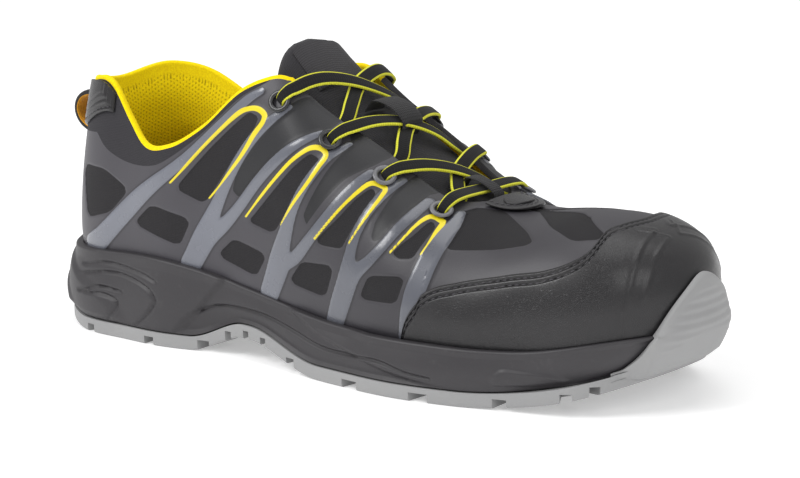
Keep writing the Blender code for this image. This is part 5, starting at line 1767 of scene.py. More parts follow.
@dataclass
class ToeGuard:
    """Smooth leather guard over the toe, double stitched along its edge."""

    last: Last
    sole: SoleForm
    pattern: PatternSheet
    finishes: Finishes
    stations: int = 190
    seams: tuple[float, float] = (0.0020, 0.0043)
    groove: float = 0.00070
    groove_half: float = 0.00045
    edge_drop: float = 0.0007
    fold_height: float = 0.0004
    ridges: list[Pixels] = table(
        [
            [(676, 215, 4), (654, 233, 4), (639, 253, 4), (628, 290, 3), (620, 332, 1)],
            [(690, 222, 3), (668, 240, 3), (653, 262, 3), (643, 296, 2)],
        ]
    )

    def grids(self, at: Array, side: int, shares: Array) -> tuple[Array, Array, Array]:
        """Shares of the form, and arcs from the top edge and up the section, metres."""
        low = self.last.feather_share(at, side)
        high = np.maximum(self.sole.guard_share(at), low + 0.02)
        cut, _ = self.last.arcs(at, side)
        place = low[:, None] + (high - low)[:, None] * shares
        return place, (high[:, None] - place) * cut[:, None], place * cut[:, None]

    def make(self) -> Object:
        """Builds guard and stitches."""
        last = self.last
        at = np.linspace(self.sole.guard_line[0][0], last.path, self.stations)
        shares = np.concatenate([np.linspace(0, 0.6, 20, endpoint=False), np.linspace(0.6, 1, 46)])
        builder = MeshBuilder()
        lines, ups = [], []
        for side in SIDES:
            place, edge, arc = self.grids(at, side, shares)
            normal = last.normals(at, side, place)
            base = last.form(at, side, place)
            height = np.full(place.shape, last.gap + last.overlay)
            for seam in self.seams:
                height -= self.groove * np.exp(-(((edge - seam) / self.groove_half) ** 2))
            height -= self.edge_drop * (1 - eased(0, 0.0009, edge))
            spots = np.stack([per_row(at, arc), arc], -1).reshape(-1, 2) * MM_PER_M
            for ridge in self.ridges:
                away = stroke_distance(spots, self.pattern.land_stroke(ridge)).reshape(arc.shape)
                height += self.fold_height * eased(-0.9, 0.9, -away) * eased(0.005, 0.009, edge)
            outer = base + normal * height[..., None]
            values = {"along": per_row(at, arc) * MM_PER_M, "up": arc * MM_PER_M}
            thick_grids(builder, outer, base + normal * last.gap, values)
            for seam in self.seams:
                row = np.argmin(np.abs(edge - seam), axis=1)
                rows = np.arange(len(at))
                lines.append(outer[rows, row][3:])
                ups.append(normal[rows, row][3:])
        guard = builder.build("toe_cap_guard", [self.finishes.leather])
        replace_nodes(guard, "smooth_leather", "toe_guard")
        stitches = StitchRow().sew("toe_cap_stitches", lines, ups, self.finishes.thread)
        replace_nodes(stitches, "smooth_leather")
        return guard


@dataclass
class HeelTab:
    """Glossy tab under the collar's back with its seam ridges."""

    last: Last
    finishes: Finishes
    length: float = 0.054
    depth: float = 0.022
    seam: float = 0.0018
    seam_depth: float = 0.0004
    edge_drop: float = 0.0006
    ridges: tuple[float, float] = (0.026, 0.036)
    ridge_height: float = 0.00040
    ridge_pitch: float = 0.0030

    def make(self) -> Object:
        """Builds tab and stitches."""
        last = self.last
        at = np.linspace(0, self.length, 60)
        shares = np.linspace(0, 1, 36)
        builder = MeshBuilder()
        lines, ups = [], []
        for side in SIDES:
            cut, _ = last.arcs(at, side)
            deep = self.depth * np.sqrt(1 - (at / self.length) ** 2 * 0.85)
            low = 1 - deep / cut
            place = low[:, None] + (0.985 - low)[:, None] * shares
            edge = np.minimum((place - low[:, None]) * cut[:, None], (self.length - at)[:, None])
            normal, base = last.normals(at, side, place), last.form(at, side, place)
            height = np.full(place.shape, last.gap + last.overlay)
            height -= self.seam_depth * np.exp(-(((edge - self.seam) / 0.0005) ** 2))
            height -= self.edge_drop * (1 - eased(0, 0.0009, edge))
            span = eased(*self.ridges, at)[:, None] * (1 - eased(0.0070, 0.0095, edge))
            height += self.ridge_height * np.sin(edge * 2 * math.pi / self.ridge_pitch) * span
            outer = base + normal * height[..., None]
            values = {"along": per_row(at, place) * MM_PER_M, "up": place * cut[:, None] * MM_PER_M}
            thick_grids(builder, outer, base + normal * last.gap, values, front=True)
            row = np.argmin(np.abs(edge - self.seam), axis=1)
            rows = np.arange(len(at))[:-4]
            lines.append(outer[rows, row[:-4]])
            ups.append(normal[rows, row[:-4]])
        tab = builder.build("heel_pull_tab", [self.finishes.leather])
        replace_nodes(tab, "smooth_leather", "heel_tab")
        stitches = StitchRow().sew("heel_tab_stitches", lines, ups, self.finishes.thread)
        replace_nodes(stitches, "smooth_leather")
        return tab


@dataclass
class PullLoop:
    """Webbing loop behind the heel, bright on its inner face."""

    last: Last
    finishes: Finishes
    height: float = 0.0185
    reach: float = 0.0140
    width: float = 0.016
    thickness: float = 0.0026
    top: float = 0.0930
    steps: int = 61
    points: int = 20
    arc_length: float = 0.034

    def make(self) -> Object:
        """Builds the arched band."""
        last, ends = self.last, []
        for level in (self.top, self.top - self.height):
            off = last.overlay + 3 * last.gap
            reach = last.reach_at_height(np.zeros(1), Side.MEDIAL, np.array([[level]]), off)[0, 0]
            spot = last.place(np.zeros(1), Side.MEDIAL, np.array([reach]), np.array([level]))[0]
            ends.append(Vector(spot))
        centre, down = (ends[0] + ends[1]) / 2, (ends[1] - ends[0]).normalized()
        out = Vector((down.z, 0, -down.x))
        out = out if out.x < 0 else -out
        half = (ends[1] - ends[0]).length / 2
        rings = []
        for turn in np.linspace(0, math.pi, self.steps):
            spots = []
            for less in (0.0, self.thickness):
                foot = self.thickness * 0.9 if less else 0.0
                away = max(math.sin(turn) ** 0.8 * (self.reach - less), foot)
                spots.append(centre - down * math.cos(turn) * (half - less) + out * away)
            outer, inner = spots
            ring = []
            for k in range(self.points):
                angle = 2 * math.pi * k / self.points
                across = math.copysign(abs(math.cos(angle)) ** 0.25, math.cos(angle)) * self.width / 2
                share = 0.5 + 0.5 * math.copysign(abs(math.sin(angle)) ** 0.6, math.sin(angle))
                point = inner.lerp(outer, share)
                ring.append((point.x, point.y + across, point.z))
            rings.append(ring)
        rings = np.array(rings)
        along = per_row(np.linspace(0, self.arc_length, self.steps) * MM_PER_M, rings[..., 0])
        values = {"along": along, "up": (rings[..., 1] - rings[..., 1].mean()) * MM_PER_M}
        index = np.arange(self.points)
        inward = (index > self.points // 2) & (index < self.points - 1)
        slot = np.broadcast_to(inward.astype(int), (self.steps - 1, self.points))
        builder = MeshBuilder()
        builder.tube(rings, values, slot)
        loop = builder.build("heel_loop", [self.finishes.webbing, self.finishes.orange])
        return replace_nodes(loop, "loop_webbing", "pull_loop")


def padded_sheet(
    builder: MeshBuilder,
    last: Last,
    lengths: Array,
    halves: Array,
    low: Array | float,
    high: Array | float,
    steps: int = 56,
    soft: tuple[float, float] = (0.55, 0.6),
) -> None:
    """A rounded sheet over the instep, closed at its ends.

    Args:
        builder: the mesh.
        last: the last.
        lengths: length x of each row.
        halves: half the width at each row.
        low: lift of the under face above the instep, per row or one.
        high: lift of the upper face.
        steps: points round each section.
        soft: powers that square the section off, across and upward.
    """
    turn = np.linspace(0, 2 * math.pi, steps, endpoint=False)
    across, rise = squared(np.cos(turn), soft[0]), squared(np.sin(turn), soft[1])
    low, high = (np.broadcast_to(v, lengths.shape)[:, None] for v in (low, high))
    lift = (low + high) / 2 + (high - low) / 2 * rise
    arcs = halves[:, None] * across
    points, _ = last.over_instep(per_row(lengths, arcs), arcs, lift)
    values = {"along": per_row(lengths, arcs) * MM_PER_M, "up": arcs * MM_PER_M}
    builder.tube(points, values)


def round_ends(count: int, ends: float) -> Array:
    """Factors that round a row of sections off towards both ends."""
    share = np.linspace(0, 1, count)
    near = np.minimum(share, 1 - share) / ends
    return np.sqrt(np.clip(1 - (1 - np.clip(near, 0, 1)) ** 2, 0.02, 1))


@dataclass
class Tongue:
    """Padded tongue with a stitched border, a bare label patch and two lace keepers."""

    last: Last
    finishes: Finishes
    width: float = 0.073
    thickness: float = 0.0055
    front: float = 0.0585
    back: float = -0.0310
    clearance: float = 0.0021
    label: tuple[float, float] = (-0.0285, -0.0150)
    label_half: float = 0.0165
    seam_inset: float = 0.0042
    straps: tuple[tuple[str, float, float, float, float], ...] = (
        ("bar_keeper", 0.0, 0.0075, 0.0036, 0.0032),
        ("lace_keeper", -0.0400, 0.0080, 0.0046, 0.0062),
    )
    flare: float = 0.10

    def make(self) -> Object:
        """Builds tongue, label, keepers and stitches."""
        last, fin = self.last, self.finishes
        share = np.linspace(0, 1, 90)
        lengths = self.front + (self.back - self.front) * share
        flared = self.flare * eased(0.78, 0.95, share)
        halves = self.width / 2 * (0.62 + 0.38 * eased(0, 0.55, share) + flared)
        halves = halves * np.sqrt(1 - 0.30 * eased(0.90, 1.0, share) ** 2)
        top = -(last.wall + self.clearance)
        full = self.thickness * round_ends(90, 0.045)
        centre = top - self.thickness / 2
        builder = MeshBuilder()
        padded_sheet(builder, last, lengths, halves, centre - full / 2, centre + full / 2)
        tongue = builder.build("tongue_pad", [fin.tongue])
        replace_nodes(tongue, "tongue_cloth", "tongue")
        patch = MeshBuilder()
        span = np.linspace(*self.label, 30)
        halves_of = np.full(len(span), self.label_half)
        padded_sheet(patch, last, span, halves_of, top - 0.0004, top + 0.0008, soft=(0.2, 0.8))
        label = patch.build("tongue_label", [fin.binding])
        replace_nodes(label, "tongue_cloth")
        for name, middle, half, lift, wide in self.straps:
            span = np.linspace(-1, 1, 40)
            over = lift * np.sqrt(np.clip(1 - (span * 0.99) ** 2, 0, 1))
            over = top + 0.0002 + (over - top) * eased(0, 0.5, over / lift)
            strap = MeshBuilder()
            lengths_of = last.eyelet_first + middle + half * span
            padded_sheet(strap, last, lengths_of, np.full(40, wide), over - 0.0008, over, soft=(0.3, 0.7))
            replace_nodes(strap.build(name, [fin.webbing]), "tongue_cloth")
        lines, ups = [], []
        for side in SIDES:
            rows = (share > 0.62) & (share < 0.985)
            arcs = side * (halves[rows] - self.seam_inset)
            spots, normal = last.over_instep(lengths[rows], arcs, top + 0.0002)
            lines.append(spots)
            ups.append(normal)
        replace_nodes(StitchRow().sew("tongue_stitches", lines, ups, fin.thread), "tongue_cloth")
        return tongue


@dataclass
class Keeper:
    """Stitched oval tab at the throat's end, with a raised oval inside."""

    last: Last
    finishes: Finishes
    length: float = 0.016
    width: float = 0.024

    def make(self) -> Object:
        """Builds tab and stitches."""
        last = self.last
        share = np.linspace(0, 1, 40)
        start = last.throat_end + 0.0015
        lengths = start + self.length * share
        halves = self.width / 2 * np.sqrt(1 - (share * 0.98) ** 2.4)
        low = last.gap * 2.5
        builder = MeshBuilder()
        padded_sheet(builder, last, lengths, halves, low, low + last.overlay, soft=(0.3, 0.5))
        oval = np.linspace(0.16, 0.72, 24)
        inside = self.width / 2 * 0.62 * np.sqrt(np.clip(1 - ((oval - 0.42) / 0.30) ** 2, 0.02, 1))
        high = low + last.overlay + 0.0007
        padded_sheet(builder, last, start + self.length * oval, inside, low + 0.0006, high)
        tab = builder.build("keeper_patch", [self.finishes.leather])
        replace_nodes(tab, "smooth_leather", "keeper_tab")
        turn = np.linspace(0, math.pi, 50)
        xs = start + 0.0010 + (self.length - 0.0035) * np.sin(turn)
        arcs = (self.width / 2 - 0.0022) * np.cos(turn)
        spots, normal = last.over_instep(xs, arcs, low + last.overlay)
        row = StitchRow(0.0022, 0.0016, 0.0006)
        replace_nodes(row.sew("keeper_stitches", [spots], [normal], self.finishes.thread), "smooth_leather")
        return tab


@dataclass
class Lace:
    """Flat lace through the eyelets: crossings over the tongue and the straight bar by the toe."""

    last: Last
    finishes: Finishes
    width: float = 0.0060
    thickness: float = 0.0014
    head: float = 0.0024
    sides: int = 20

    def ribbon(self, builder: MeshBuilder, rows: Sequence[tuple[float, float, float, float]]) -> None:
        """Adds a ribbon.

        Args:
            builder: the mesh.
            rows: length x, arc across, lift and width share at points of the route.
        """
        fine = smoothed(rows, 9)
        base = self.last.instep(fine[:, 0], fine[:, 1])
        points, normal = self.last.over_instep(fine[:, 0], fine[:, 1], fine[:, 2])
        whole = base[-1] - base[0]
        ahead = np.gradient(base, axis=0) + whole / np.linalg.norm(whole) * 1e-4
        across = unit(np.cross(ahead, normal))
        third = unit(np.cross(across, unit(np.gradient(points, axis=0), 1e-9)), 1e-9)
        turn = np.linspace(0, 2 * math.pi, self.sides, endpoint=False)
        beside, rise = squared(np.cos(turn), 0.45), squared(np.sin(turn), 0.6)
        half = self.width / 2 * fine[:, 3]
        thick = self.thickness / 2 * (1 + 0.5 * (1 - fine[:, 3]))
        ring = points[:, None] + across[:, None] * (half[:, None] * beside)[..., None]
        ring = ring + third[:, None] * (thick[:, None] * rise)[..., None]
        steps = np.linalg.norm(np.diff(points, axis=0), axis=1)
        along = np.concatenate([[0], np.cumsum(steps)]) * MM_PER_M
        across_lace = np.broadcast_to(beside, ring.shape[:2])
        builder.tube(ring, {"along": per_row(along, across_lace), "across": across_lace})

    def crossing(self, row: int, side: int, middle: float) -> list[tuple[float, float, float, float]]:
        """Route from an eyelet over its eyestay and under the far one to the next row's eyelet."""
        last = self.last
        start, end = last.eyelet_length(row), last.eyelet_length(row - 1)
        near, far = last.throat_across(start, side), last.throat_across(end, -side)
        inset = last.eyelet_inset

        def on(share: float) -> float:
            """Length between the two rows."""
            return start + (end - start) * share

        return [
            (start, side * (near + inset), -0.0032, 0.72),
            (start, side * (near + inset), -0.0004, 0.70),
            (on(0.02), side * (near + inset - 0.0016), self.head - 0.0010, 0.76),
            (on(0.10), side * (near + inset * 0.45), self.head + 0.0003, 0.92),
            (on(0.18), side * near, self.head, 1.0),
            (on(0.34), side * near * 0.5, self.head * 0.55 + middle * 0.45, 1.02),
            (on(0.52), 0.0, middle, 1.04),
            (on(0.76), -side * far * 0.48, middle * 0.5 - 0.0006, 1.02),
            (on(0.93), -side * (far - 0.0045), -0.0018, 0.98),
            (on(1.0), -side * (far + 0.0030), -0.0034, 0.90),
            (on(1.0), -side * (far + inset * 0.75), -0.0040, 0.80),
            (on(1.0), -side * (far + inset), -0.0030, 0.72),
        ]

    def bar(self) -> list[tuple[float, float, float, float]]:
        """Route of the straight bar between the first eyelets."""
        last = self.last
        x, inset = last.eyelet_first, last.eyelet_inset
        half = last.throat_across(x, Side.LATERAL)
        near = [
            (half + inset, -0.0032, 0.72),
            (half + inset, -0.0004, 0.70),
            (half + inset - 0.0016, self.head - 0.0010, 0.76),
            (half + inset * 0.45, self.head + 0.0003, 0.92),
            (half, self.head, 1.0),
            (half * 0.5, 0.0012, 1.0),
        ]
        left = [(x, -arc, lift, width) for arc, lift, width in near]
        right = [(x, arc, lift, width) for arc, lift, width in reversed(near)]
        return left + [(x, 0.0, 0.0006, 1.0)] + right

    def make(self) -> Object:
        """Builds the whole lace as one piece."""
        builder = MeshBuilder()
        for row in range(self.last.eyelet_rows - 1, 0, -1):
            self.ribbon(builder, self.crossing(row, Side.LATERAL, 0.0006))
            self.ribbon(builder, self.crossing(row, Side.MEDIAL, -0.0010))
        self.ribbon(builder, self.bar())
        lace = builder.build("lace_run", [self.finishes.lace])
        names = [f"lace_cross_{k}" for k in range(1, self.last.eyelet_rows)] + ["lace_bar"]
        return replace_nodes(lace, "lace_braid", *names)


@dataclass
class Eyelets:
    """Moulded eyelet rings on both eyestays."""

    last: Last
    finishes: Finishes
    radius: float = 0.0046
    hole: float = 0.0027
    flange: float = 0.0012
    barrel: float = 0.0042

    def rings(self, name: str, rows: Sequence[int], material: Material) -> Object:
        """Sets the rings of some rows through Geometry Nodes."""
        spots = [self.last.eyelet_spot(row, side) for row in rows for side in SIDES]
        sizes = {"Middle radius": (self.radius + self.hole) / 2, "Width": self.radius - self.hole}
        sizes.update(Flange=self.flange, Barrel=self.barrel, Wall=0.0005, Lift=self.last.gap + 0.0010)
        recipe = NodeRecipe(name + "_rings", sizes)

        def circle(radius: object, resolution: int) -> bpy.types.Node:
            """A circle curve."""
            inputs = {"Resolution": resolution, "Radius": radius}
            return recipe.node("GeometryNodeCurvePrimitiveCircle", inputs=inputs)

        def turned(radius: object, wide: object, tall: object) -> bpy.types.Node:
            """A turned ring of an oval section."""
            path, oval = circle(radius, 56), circle(0.5, 14)
            shape = recipe.moved(oval.outputs[0], Scale=recipe.vector(X=wide, Y=tall, Z=1.0))
            curves = {"Curve": path.outputs[0], "Profile Curve": shape}
            return recipe.node("GeometryNodeCurveToMesh", inputs=curves)

        def sum_of(first: object, second: object, operation: str = "ADD") -> Socket:
            """Sum, or another operation, of two sizes."""
            return recipe.node("ShaderNodeMath", {"operation": operation}, {0: first, 1: second}).outputs[0]

        wall = recipe.size("Wall")
        half = sum_of(recipe.size("Width"), 0.5, "MULTIPLY")
        inside = sum_of(recipe.size("Middle radius"), half, "SUBTRACT")
        flange = turned(recipe.size("Middle radius"), recipe.size("Width"), recipe.size("Flange"))
        barrel = turned(sum_of(inside, wall), wall, recipe.size("Barrel"))
        down = recipe.vector(Z=sum_of(recipe.size("Barrel"), -0.5, "MULTIPLY"))
        sunk = recipe.moved(barrel.outputs[0], Translation=down)
        both = recipe.node("GeometryNodeJoinGeometry")
        recipe.tree.links.new(flange.outputs[0], both.inputs[0])
        recipe.tree.links.new(sunk, both.inputs[0])
        raised = recipe.moved(both.outputs[0], Translation=recipe.vector(Z=recipe.size("Lift")))
        laid = recipe.node(
            "GeometryNodeInstanceOnPoints",
            inputs={
                "Points": recipe.source.outputs["Geometry"],
                "Instance": raised,
                "Rotation": recipe.facing("Z", recipe.surface_up()),
            },
        )
        recipe.finish(laid.outputs[0])
        source = path_object(name, [[point] for point, _ in spots], [[normal] for _, normal in spots])
        made = recipe.apply(source, name, material)
        nodes = [f"eyelet_{side.name.lower()}_{row + 1}" for row in rows for side in SIDES]
        return replace_nodes(made, "eyelet_plastic", *nodes)

    def make(self) -> list[Object]:
        """Builds dark rings at the ankle and grey ones by the toe."""
        half = self.last.eyelet_rows // 2
        grey = self.rings("eyelets_front", range(half), self.finishes.grey_ring)
        dark = self.rings("eyelets_ankle", range(half, self.last.eyelet_rows), self.finishes.dark_ring)
        return [grey, dark]


@dataclass
class SoleUnit:
    """Foam midsole, rubber outsole with its tread, and the toe bumper."""

    last: Last
    sole: SoleForm
    view: PhotoView
    finishes: Finishes
    stations: int = 300
    side_rows: int = 54
    toe_draw: float = 0.0060
    toe_rise: float = 0.0180
    crease_depth: float = 0.00110
    lens_height: float = 0.0009
    rib_pitch: float = 0.0034
    rib_height: float = 0.00022
    insole_height: float = 0.0045
    # painted shade: depth below the rim given to the insole, so the lining paints it dark
    painted_shade_below: float = 70.0
    across: tuple[float, ...] = (0, 0.25, 0.45, 0.65, 0.80, 0.92)
    channels: tuple[float, ...] = (-0.427, -0.370, -0.313, -0.256, 0.043, 0.107, 0.171, 0.235, 0.299)
    creases: list[Pixels] = table(
        [
            [(84, 263, 2), (105, 262, 2), (124, 267, 2), (143, 275, 2), (154, 282, 1.5)],
            [(83, 272, 2), (111, 272, 2), (130, 278, 2), (147, 289, 2), (154, 301, 2), (148, 313, 2),
                (135, 326, 1.5)],
            [(79, 290, 2), (98, 286, 2), (121, 292, 1.5)],
            [(85, 292, 1.5), (102, 294, 2), (115, 300, 2), (116, 306, 2), (107, 319, 1.5)],
            [(175, 331, 1.5), (188, 317, 2), (207, 308, 2), (226, 306, 2), (260, 314, 2), (288, 328, 2),
                (320, 347, 2), (352, 356, 2), (378, 362, 2), (403, 373, 2), (428, 379, 1)],
        ]
    )
    lens: Corners = table(
        [(493, 386), (493, 376), (502, 370), (524, 373), (552, 376), (571, 382), (535, 386)]
    )

    def landing(self) -> Landing:
        """Search surface of the midsole's lateral side in station and height."""
        at = np.linspace(0, self.last.path, 140)
        reach, height = self.sole.side(at, Side.LATERAL, np.linspace(0, 1, 16))
        points = self.last.place(at[:, None], Side.LATERAL, reach, height)
        return Landing(self.view, points, per_row(at, height), height)

    def relief(self, at: Array, height: Array) -> Array:
        """Creases and the raised lens on the midsole's side, metres."""
        search = self.landing()
        spots = np.stack([per_row(at, height), height], -1).reshape(-1, 2) * MM_PER_M
        whole = np.zeros(len(spots))
        for crease in self.creases:
            rows = smoothed(crease, 4)
            line = np.array([search.land(x, y) for x, y, _ in rows]) * MM_PER_M
            away = stroke_distance(spots, np.column_stack([line, rows[:, 2] * 0.20]))
            whole -= self.crease_depth * eased(-0.7, 0.35, -away)
        outline = np.array([search.land(x, y) for x, y in rounded(self.lens, 1)]) * MM_PER_M
        whole += self.lens_height * eased(-0.7, 0.7, -outline_distance(spots, outline))
        return whole.reshape(height.shape)

    def midsole(self) -> Object:
        """Closed midsole with its cup."""
        last, sole = self.last, self.sole
        at = np.linspace(0, last.path, self.stations)
        builder = MeshBuilder()
        up = np.linspace(0, 1, self.side_rows)
        for side in SIDES:
            reach, height = sole.side(at, side, up)
            fade = np.sin(math.pi * np.clip(up, 0, 1)) ** 0.3
            reach = reach + self.relief(at, height) * fade - self.tuck(at, side, height)
            under = sole.reach(at, side)[:, None] * np.array(self.across)
            edge = height[:, -1:] + sole.rim_edge
            round_off = np.linspace(0, math.pi / 2, 5)[1:]
            rim_reach = reach[:, -1:] - sole.rim_edge * (1 - np.cos(round_off))
            rim_height = height[:, -1:] + sole.rim_edge * np.sin(round_off)
            base = sole.floor(at, side, last.sided("foot", at, side)[:, None])
            inner = base + (edge - base) * np.array([1.0, 0.8, 0.6, 0.4, 0.25, 0.12])
            inside = last.reach_at_height(at, side, inner, sole.cup_gap(at))
            foot = last.sided("foot", at, side)[:, None] * np.array([1, 0.75, 0.5, 0.25, 0])
            reaches = np.concatenate([under, reach, rim_reach, inside, foot], axis=1)
            seam, floor = sole.seam(at, side, under) + last.gap, sole.floor(at, side, foot)
            heights = np.concatenate([seam, height, rim_height, inner, floor], axis=1)
            builder.grid(last.place(at[:, None], side, reaches, heights), flip=side == Side.LATERAL)
        piece = builder.build("midsole_shell", [self.finishes.foam])
        return replace_nodes(piece, "midsole_foam", "midsole")

    def tuck(self, at: Array, side: int, height: Array) -> Array:
        """How far the toe's foot is drawn in at heights (n, m)."""
        turn = eased(self.last.toe_turn(15), self.last.toe_turn(60), at)[:, None]
        low = self.sole.ground(self.last.plan_x(at, self.sole.reach(at, side)))[:, None]
        return self.toe_draw * turn * (1 - np.clip((height - low) / self.toe_rise, 0, 1)) ** 2

    def slab_edge(self, at: Array, side: int) -> Array:
        """Reach of the slab's edge, drawn in under the toe bumper."""
        return self.sole.reach(at, side) - self.tuck(at, side, np.zeros((len(at), 1)))[:, 0]

    def cutter(self) -> Object:
        """Boxes that cut the tread's notches and channels."""
        last, sole = self.last, self.sole
        depth = sole.thickness - sole.base
        boxes = []
        for side in SIDES:
            for station, inward, slant, wide in sole.grooves:
                at = np.array([station])
                edge = sole.reach(at, side)
                outer = last.place(at, side, edge, np.zeros(1))[0]
                inner = last.place(at, side, edge - inward, np.zeros(1))[0]
                middle = (outer + inner) / 2
                turn = math.atan2(outer[1] - inner[1], outer[0] - inner[0])
                turn += side * math.radians(slant) * 0.5
                low = float(sole.ground(last.plan_x(at, edge))[0])
                boxes.append(((inward + 0.006, sole.groove_width * wide), (middle[0], middle[1], low), turn))
        for share in self.channels:
            x = share * last.length
            wide = last.heel_width * 0.42 if share < 0 else last.ball_width * 0.40
            swing = float(np.interp(x, last.spine[1], last.spine[2]))
            place = (x + last.shift[0], swing + last.shift[1], float(sole.ground(x)))
            boxes.append(((sole.groove_width * 0.7, wide), place, math.copysign(0.22, -share)))
        work = bmesh.new()
        for size, place, turn in boxes:
            turned = Matrix.Translation(place) @ Matrix.Rotation(turn, 4, "Z")
            bmesh.ops.create_cube(work, size=1, matrix=turned @ Matrix.Diagonal((*size, 2 * depth, 1)))
        mesh = bpy.data.meshes.new("tread_cutter")
        work.to_mesh(mesh)
        work.free()
        return placed("tread_cutter", mesh)

    def outsole(self) -> Object:
        """Outsole slab with tread cut in."""
        last, sole = self.last, self.sole
        at = np.linspace(0, last.path, 220)
        builder = MeshBuilder()
        turn = np.linspace(0, math.pi / 2, 5)
        for side in SIDES:
            edge = self.slab_edge(at, side)
            under = edge[:, None] * np.array(self.across)
            round_reach = edge[:, None] - sole.chamfer * (1 - np.sin(turn))
            low = sole.ground(last.plan_x(at, edge))[:, None]
            round_height = low + sole.chamfer * (1 - np.cos(turn))
            top = low + sole.thickness
            reaches = np.concatenate([under, round_reach, edge[:, None], under[:, ::-1]], axis=1)
            ground, seam = sole.ground(last.plan_x(at[:, None], under)), sole.seam(at, side, under[:, ::-1])
            heights = np.concatenate([ground, round_height, top, seam], axis=1)
            builder.grid(last.place(at[:, None], side, reaches, heights), flip=side == Side.LATERAL)
        slab = builder.build("outsole_tread", [self.finishes.rubber], sharp=40)
        cutter = self.cutter()
        cut = slab.modifiers.new("tread", "BOOLEAN")
        cut.operation, cut.object, cut.solver = "DIFFERENCE", cutter, "EXACT"
        bpy.context.view_layer.update()
        piece = baked(slab, "outsole_tread")
        bpy.data.objects.remove(cutter)
        piece.data.shade_smooth()
        piece.data.set_sharp_from_angle(angle=math.radians(40))
        return replace_nodes(piece, "outsole_rubber", "outsole")

    def bumper(self) -> Object:
        """Toe bumper with faint ribs, filled out over the midsole's rim and run down over the slab."""
        last, sole = self.last, self.sole
        at = np.linspace(sole.bumper_line[0][0], last.path, 110)
        up = np.linspace(0, 1, 60)
        builder = MeshBuilder()
        for side in SIDES:
            inside, outside, height = sole.bumper(at, side, up)
            rib = np.sin(height * 2 * math.pi / self.rib_pitch)
            share = eased(last.toe_turn(58), last.toe_turn(74), at)[:, None]
            span = eased(0.30, 0.38, up) * (1 - eased(0.80, 0.88, up))
            widest = outside.max(axis=1, keepdims=True)
            level = up[outside.argmax(axis=1)][:, None]
            above = np.clip((up - level) / np.maximum(1 - level, 1e-6), 0, 1) ** 1.3
            outside = np.maximum(outside, widest + (outside[:, -1:] - widest) * above)
            outside = outside + self.rib_height * rib * share * span
            outside = outside - 0.0008 * eased(0.96, 1.0, up) - self.tuck(at, side, height)
            inside = inside - self.tuck(at, side, height)
            fade = eased(last.toe_turn(44), last.toe_turn(60), at)[:, None]
            slab = self.slab_edge(at, side)[:, None]
            low = (sole.ground(last.plan_x(at, slab[:, 0])) + 0.0010)[:, None]
            drop = np.linspace(1, 0.06, 10)
            skirt = height[:, :1] + (low - height[:, :1]) * fade * drop
            out = outside[:, :1] * (1 - drop) + (slab + 0.0004) * drop - 0.0010 * eased(0.82, 1, drop)
            outside = np.concatenate([out, outside], axis=1)
            inside = np.concatenate([np.broadcast_to(slab - 0.0020, out.shape), inside], axis=1)
            height = np.concatenate([skirt, height], axis=1)
            outer = last.place(at[:, None], side, outside, height)
            inner = last.place(at[:, None], side, inside, height)
            thick_grids(builder, outer, inner, {})
        wall = builder.build("toe_bumper", [self.finishes.rubber])
        return replace_nodes(wall, "outsole_rubber", "outsole")

    def insole(self) -> Object:
        """Insole with rounded edges, covered in the lining's knit and painted in the lining's deep shade."""
        last, sole = self.last, self.sole
        at = np.linspace(0, last.path, 160)
        share = np.concatenate([np.linspace(0, 0.94, 14), np.linspace(0.95, 1, 6)])
        builder = MeshBuilder()
        for side in SIDES:
            foot = last.sided("foot", at, side)[:, None] - 0.0020
            under = foot * share
            base = sole.floor(at, side, under) + last.gap
            drop = 0.0012 * eased(0.95, 1.0, share)
            reach = np.concatenate([under, under[:, ::-1]], axis=1)
            height = np.concatenate([base, (base + self.insole_height - drop)[:, ::-1]], axis=1)
            values = {"along": per_row(at, reach) * MM_PER_M, "up": reach * MM_PER_M}
            # painted shade: the insole counts as far below the rim, so it takes the lining's darkest painted
            # shade
            values["below"] = np.full(reach.shape, self.painted_shade_below)
            builder.grid(last.place(at[:, None], side, reach, height), 0, side == Side.LATERAL, values)
        piece = builder.build("insole_pad", [self.finishes.lining])
        replace_nodes(piece, "lining_mesh", "insole")
        return piece

    def make(self) -> None:
        """Builds the whole sole unit."""
        self.midsole()
        self.outsole()
        self.bumper()
        self.insole()


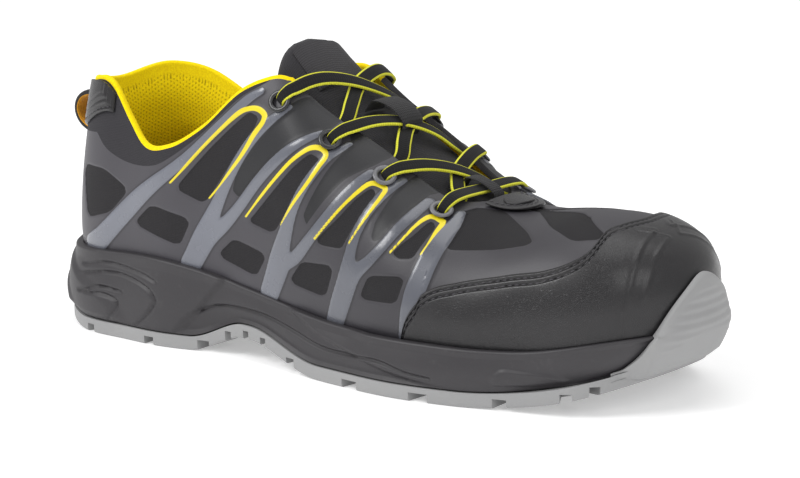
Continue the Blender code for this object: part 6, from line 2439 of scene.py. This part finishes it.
@dataclass
class Studio:
    """Pale floor, soft lights and the photograph's camera."""

    view: PhotoView
    floor: float = 12.0
    world: float = 0.50
    aim: tuple[float, float, float] = (0.0, 0.0, 0.05)
    lamps: tuple[tuple[str, tuple[float, float, float], float, float], ...] = (
        ("key", (-0.8, -1.2, 1.4), 0.9, 20),
        ("front", (1.5, -0.7, 1.2), 1.0, 7),
        ("top", (0.0, 0.3, 1.8), 1.4, 10),
    )

    def lamp(self, name: str, place: tuple[float, float, float], size: float, power: float) -> None:
        """Adds a soft square lamp aimed at the shoe."""
        data = bpy.data.lights.new(name, "AREA")
        data.size, data.energy = size, power
        lamp = placed(name, data)
        lamp.location = place
        lamp.rotation_euler = (Vector(self.aim) - Vector(place)).to_track_quat("-Z", "Y").to_euler()

    def make(self) -> None:
        """Sets the stage."""
        scene = bpy.context.scene
        half = self.floor / 2
        mesh = bpy.data.meshes.new("floor")
        corners = [(-half, -half, 0), (half, -half, 0), (half, half, 0), (-half, half, 0)]
        mesh.from_pydata(corners, [], [(0, 1, 2, 3)])
        mesh.materials.append(StageFinish().material())
        placed("floor", mesh)
        world = bpy.data.worlds.new("soft_studio")
        world.use_nodes = True
        sky = world.node_tree.nodes["Background"].inputs
        sky["Color"].default_value, sky["Strength"].default_value = (1, 1, 1, 1), self.world
        scene.world = world
        for name, place, size, power in self.lamps:
            self.lamp(name, place, size, power)
        scene.view_settings.view_transform = "Standard"
        self.view.camera()


def main() -> None:
    """Builds the studio and every sub-assembly in order."""
    logging.basicConfig(level=logging.INFO, format="%(name)s: %(message)s")
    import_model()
    last = Last()
    insole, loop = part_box("insole"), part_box("pull_loop")
    heel = last.heel_centre - float(last.column("foot_lat", np.zeros(1))[0]) + 0.0020
    last.shift = (insole[0].x - heel, (loop[0].y + loop[1].y) / 2 + last.toe_swing / 2)
    LOG.info("shift of the last: %.5f %.5f", *last.shift)
    sole, view, finishes = SoleForm(last), PhotoView(), Finishes()
    pattern = PatternSheet(last, view)
    Studio(view).make()
    UpperShell(last, pattern, finishes).make()
    ToeGuard(last, sole, pattern, finishes).make()
    HeelTab(last, finishes).make()
    PullLoop(last, finishes).make()
    Tongue(last, finishes).make()
    Keeper(last, finishes).make()
    SoleUnit(last, sole, view, finishes).make()
    Eyelets(last, finishes).make()
    Lace(last, finishes).make()


if __name__ == "__main__":
    main()
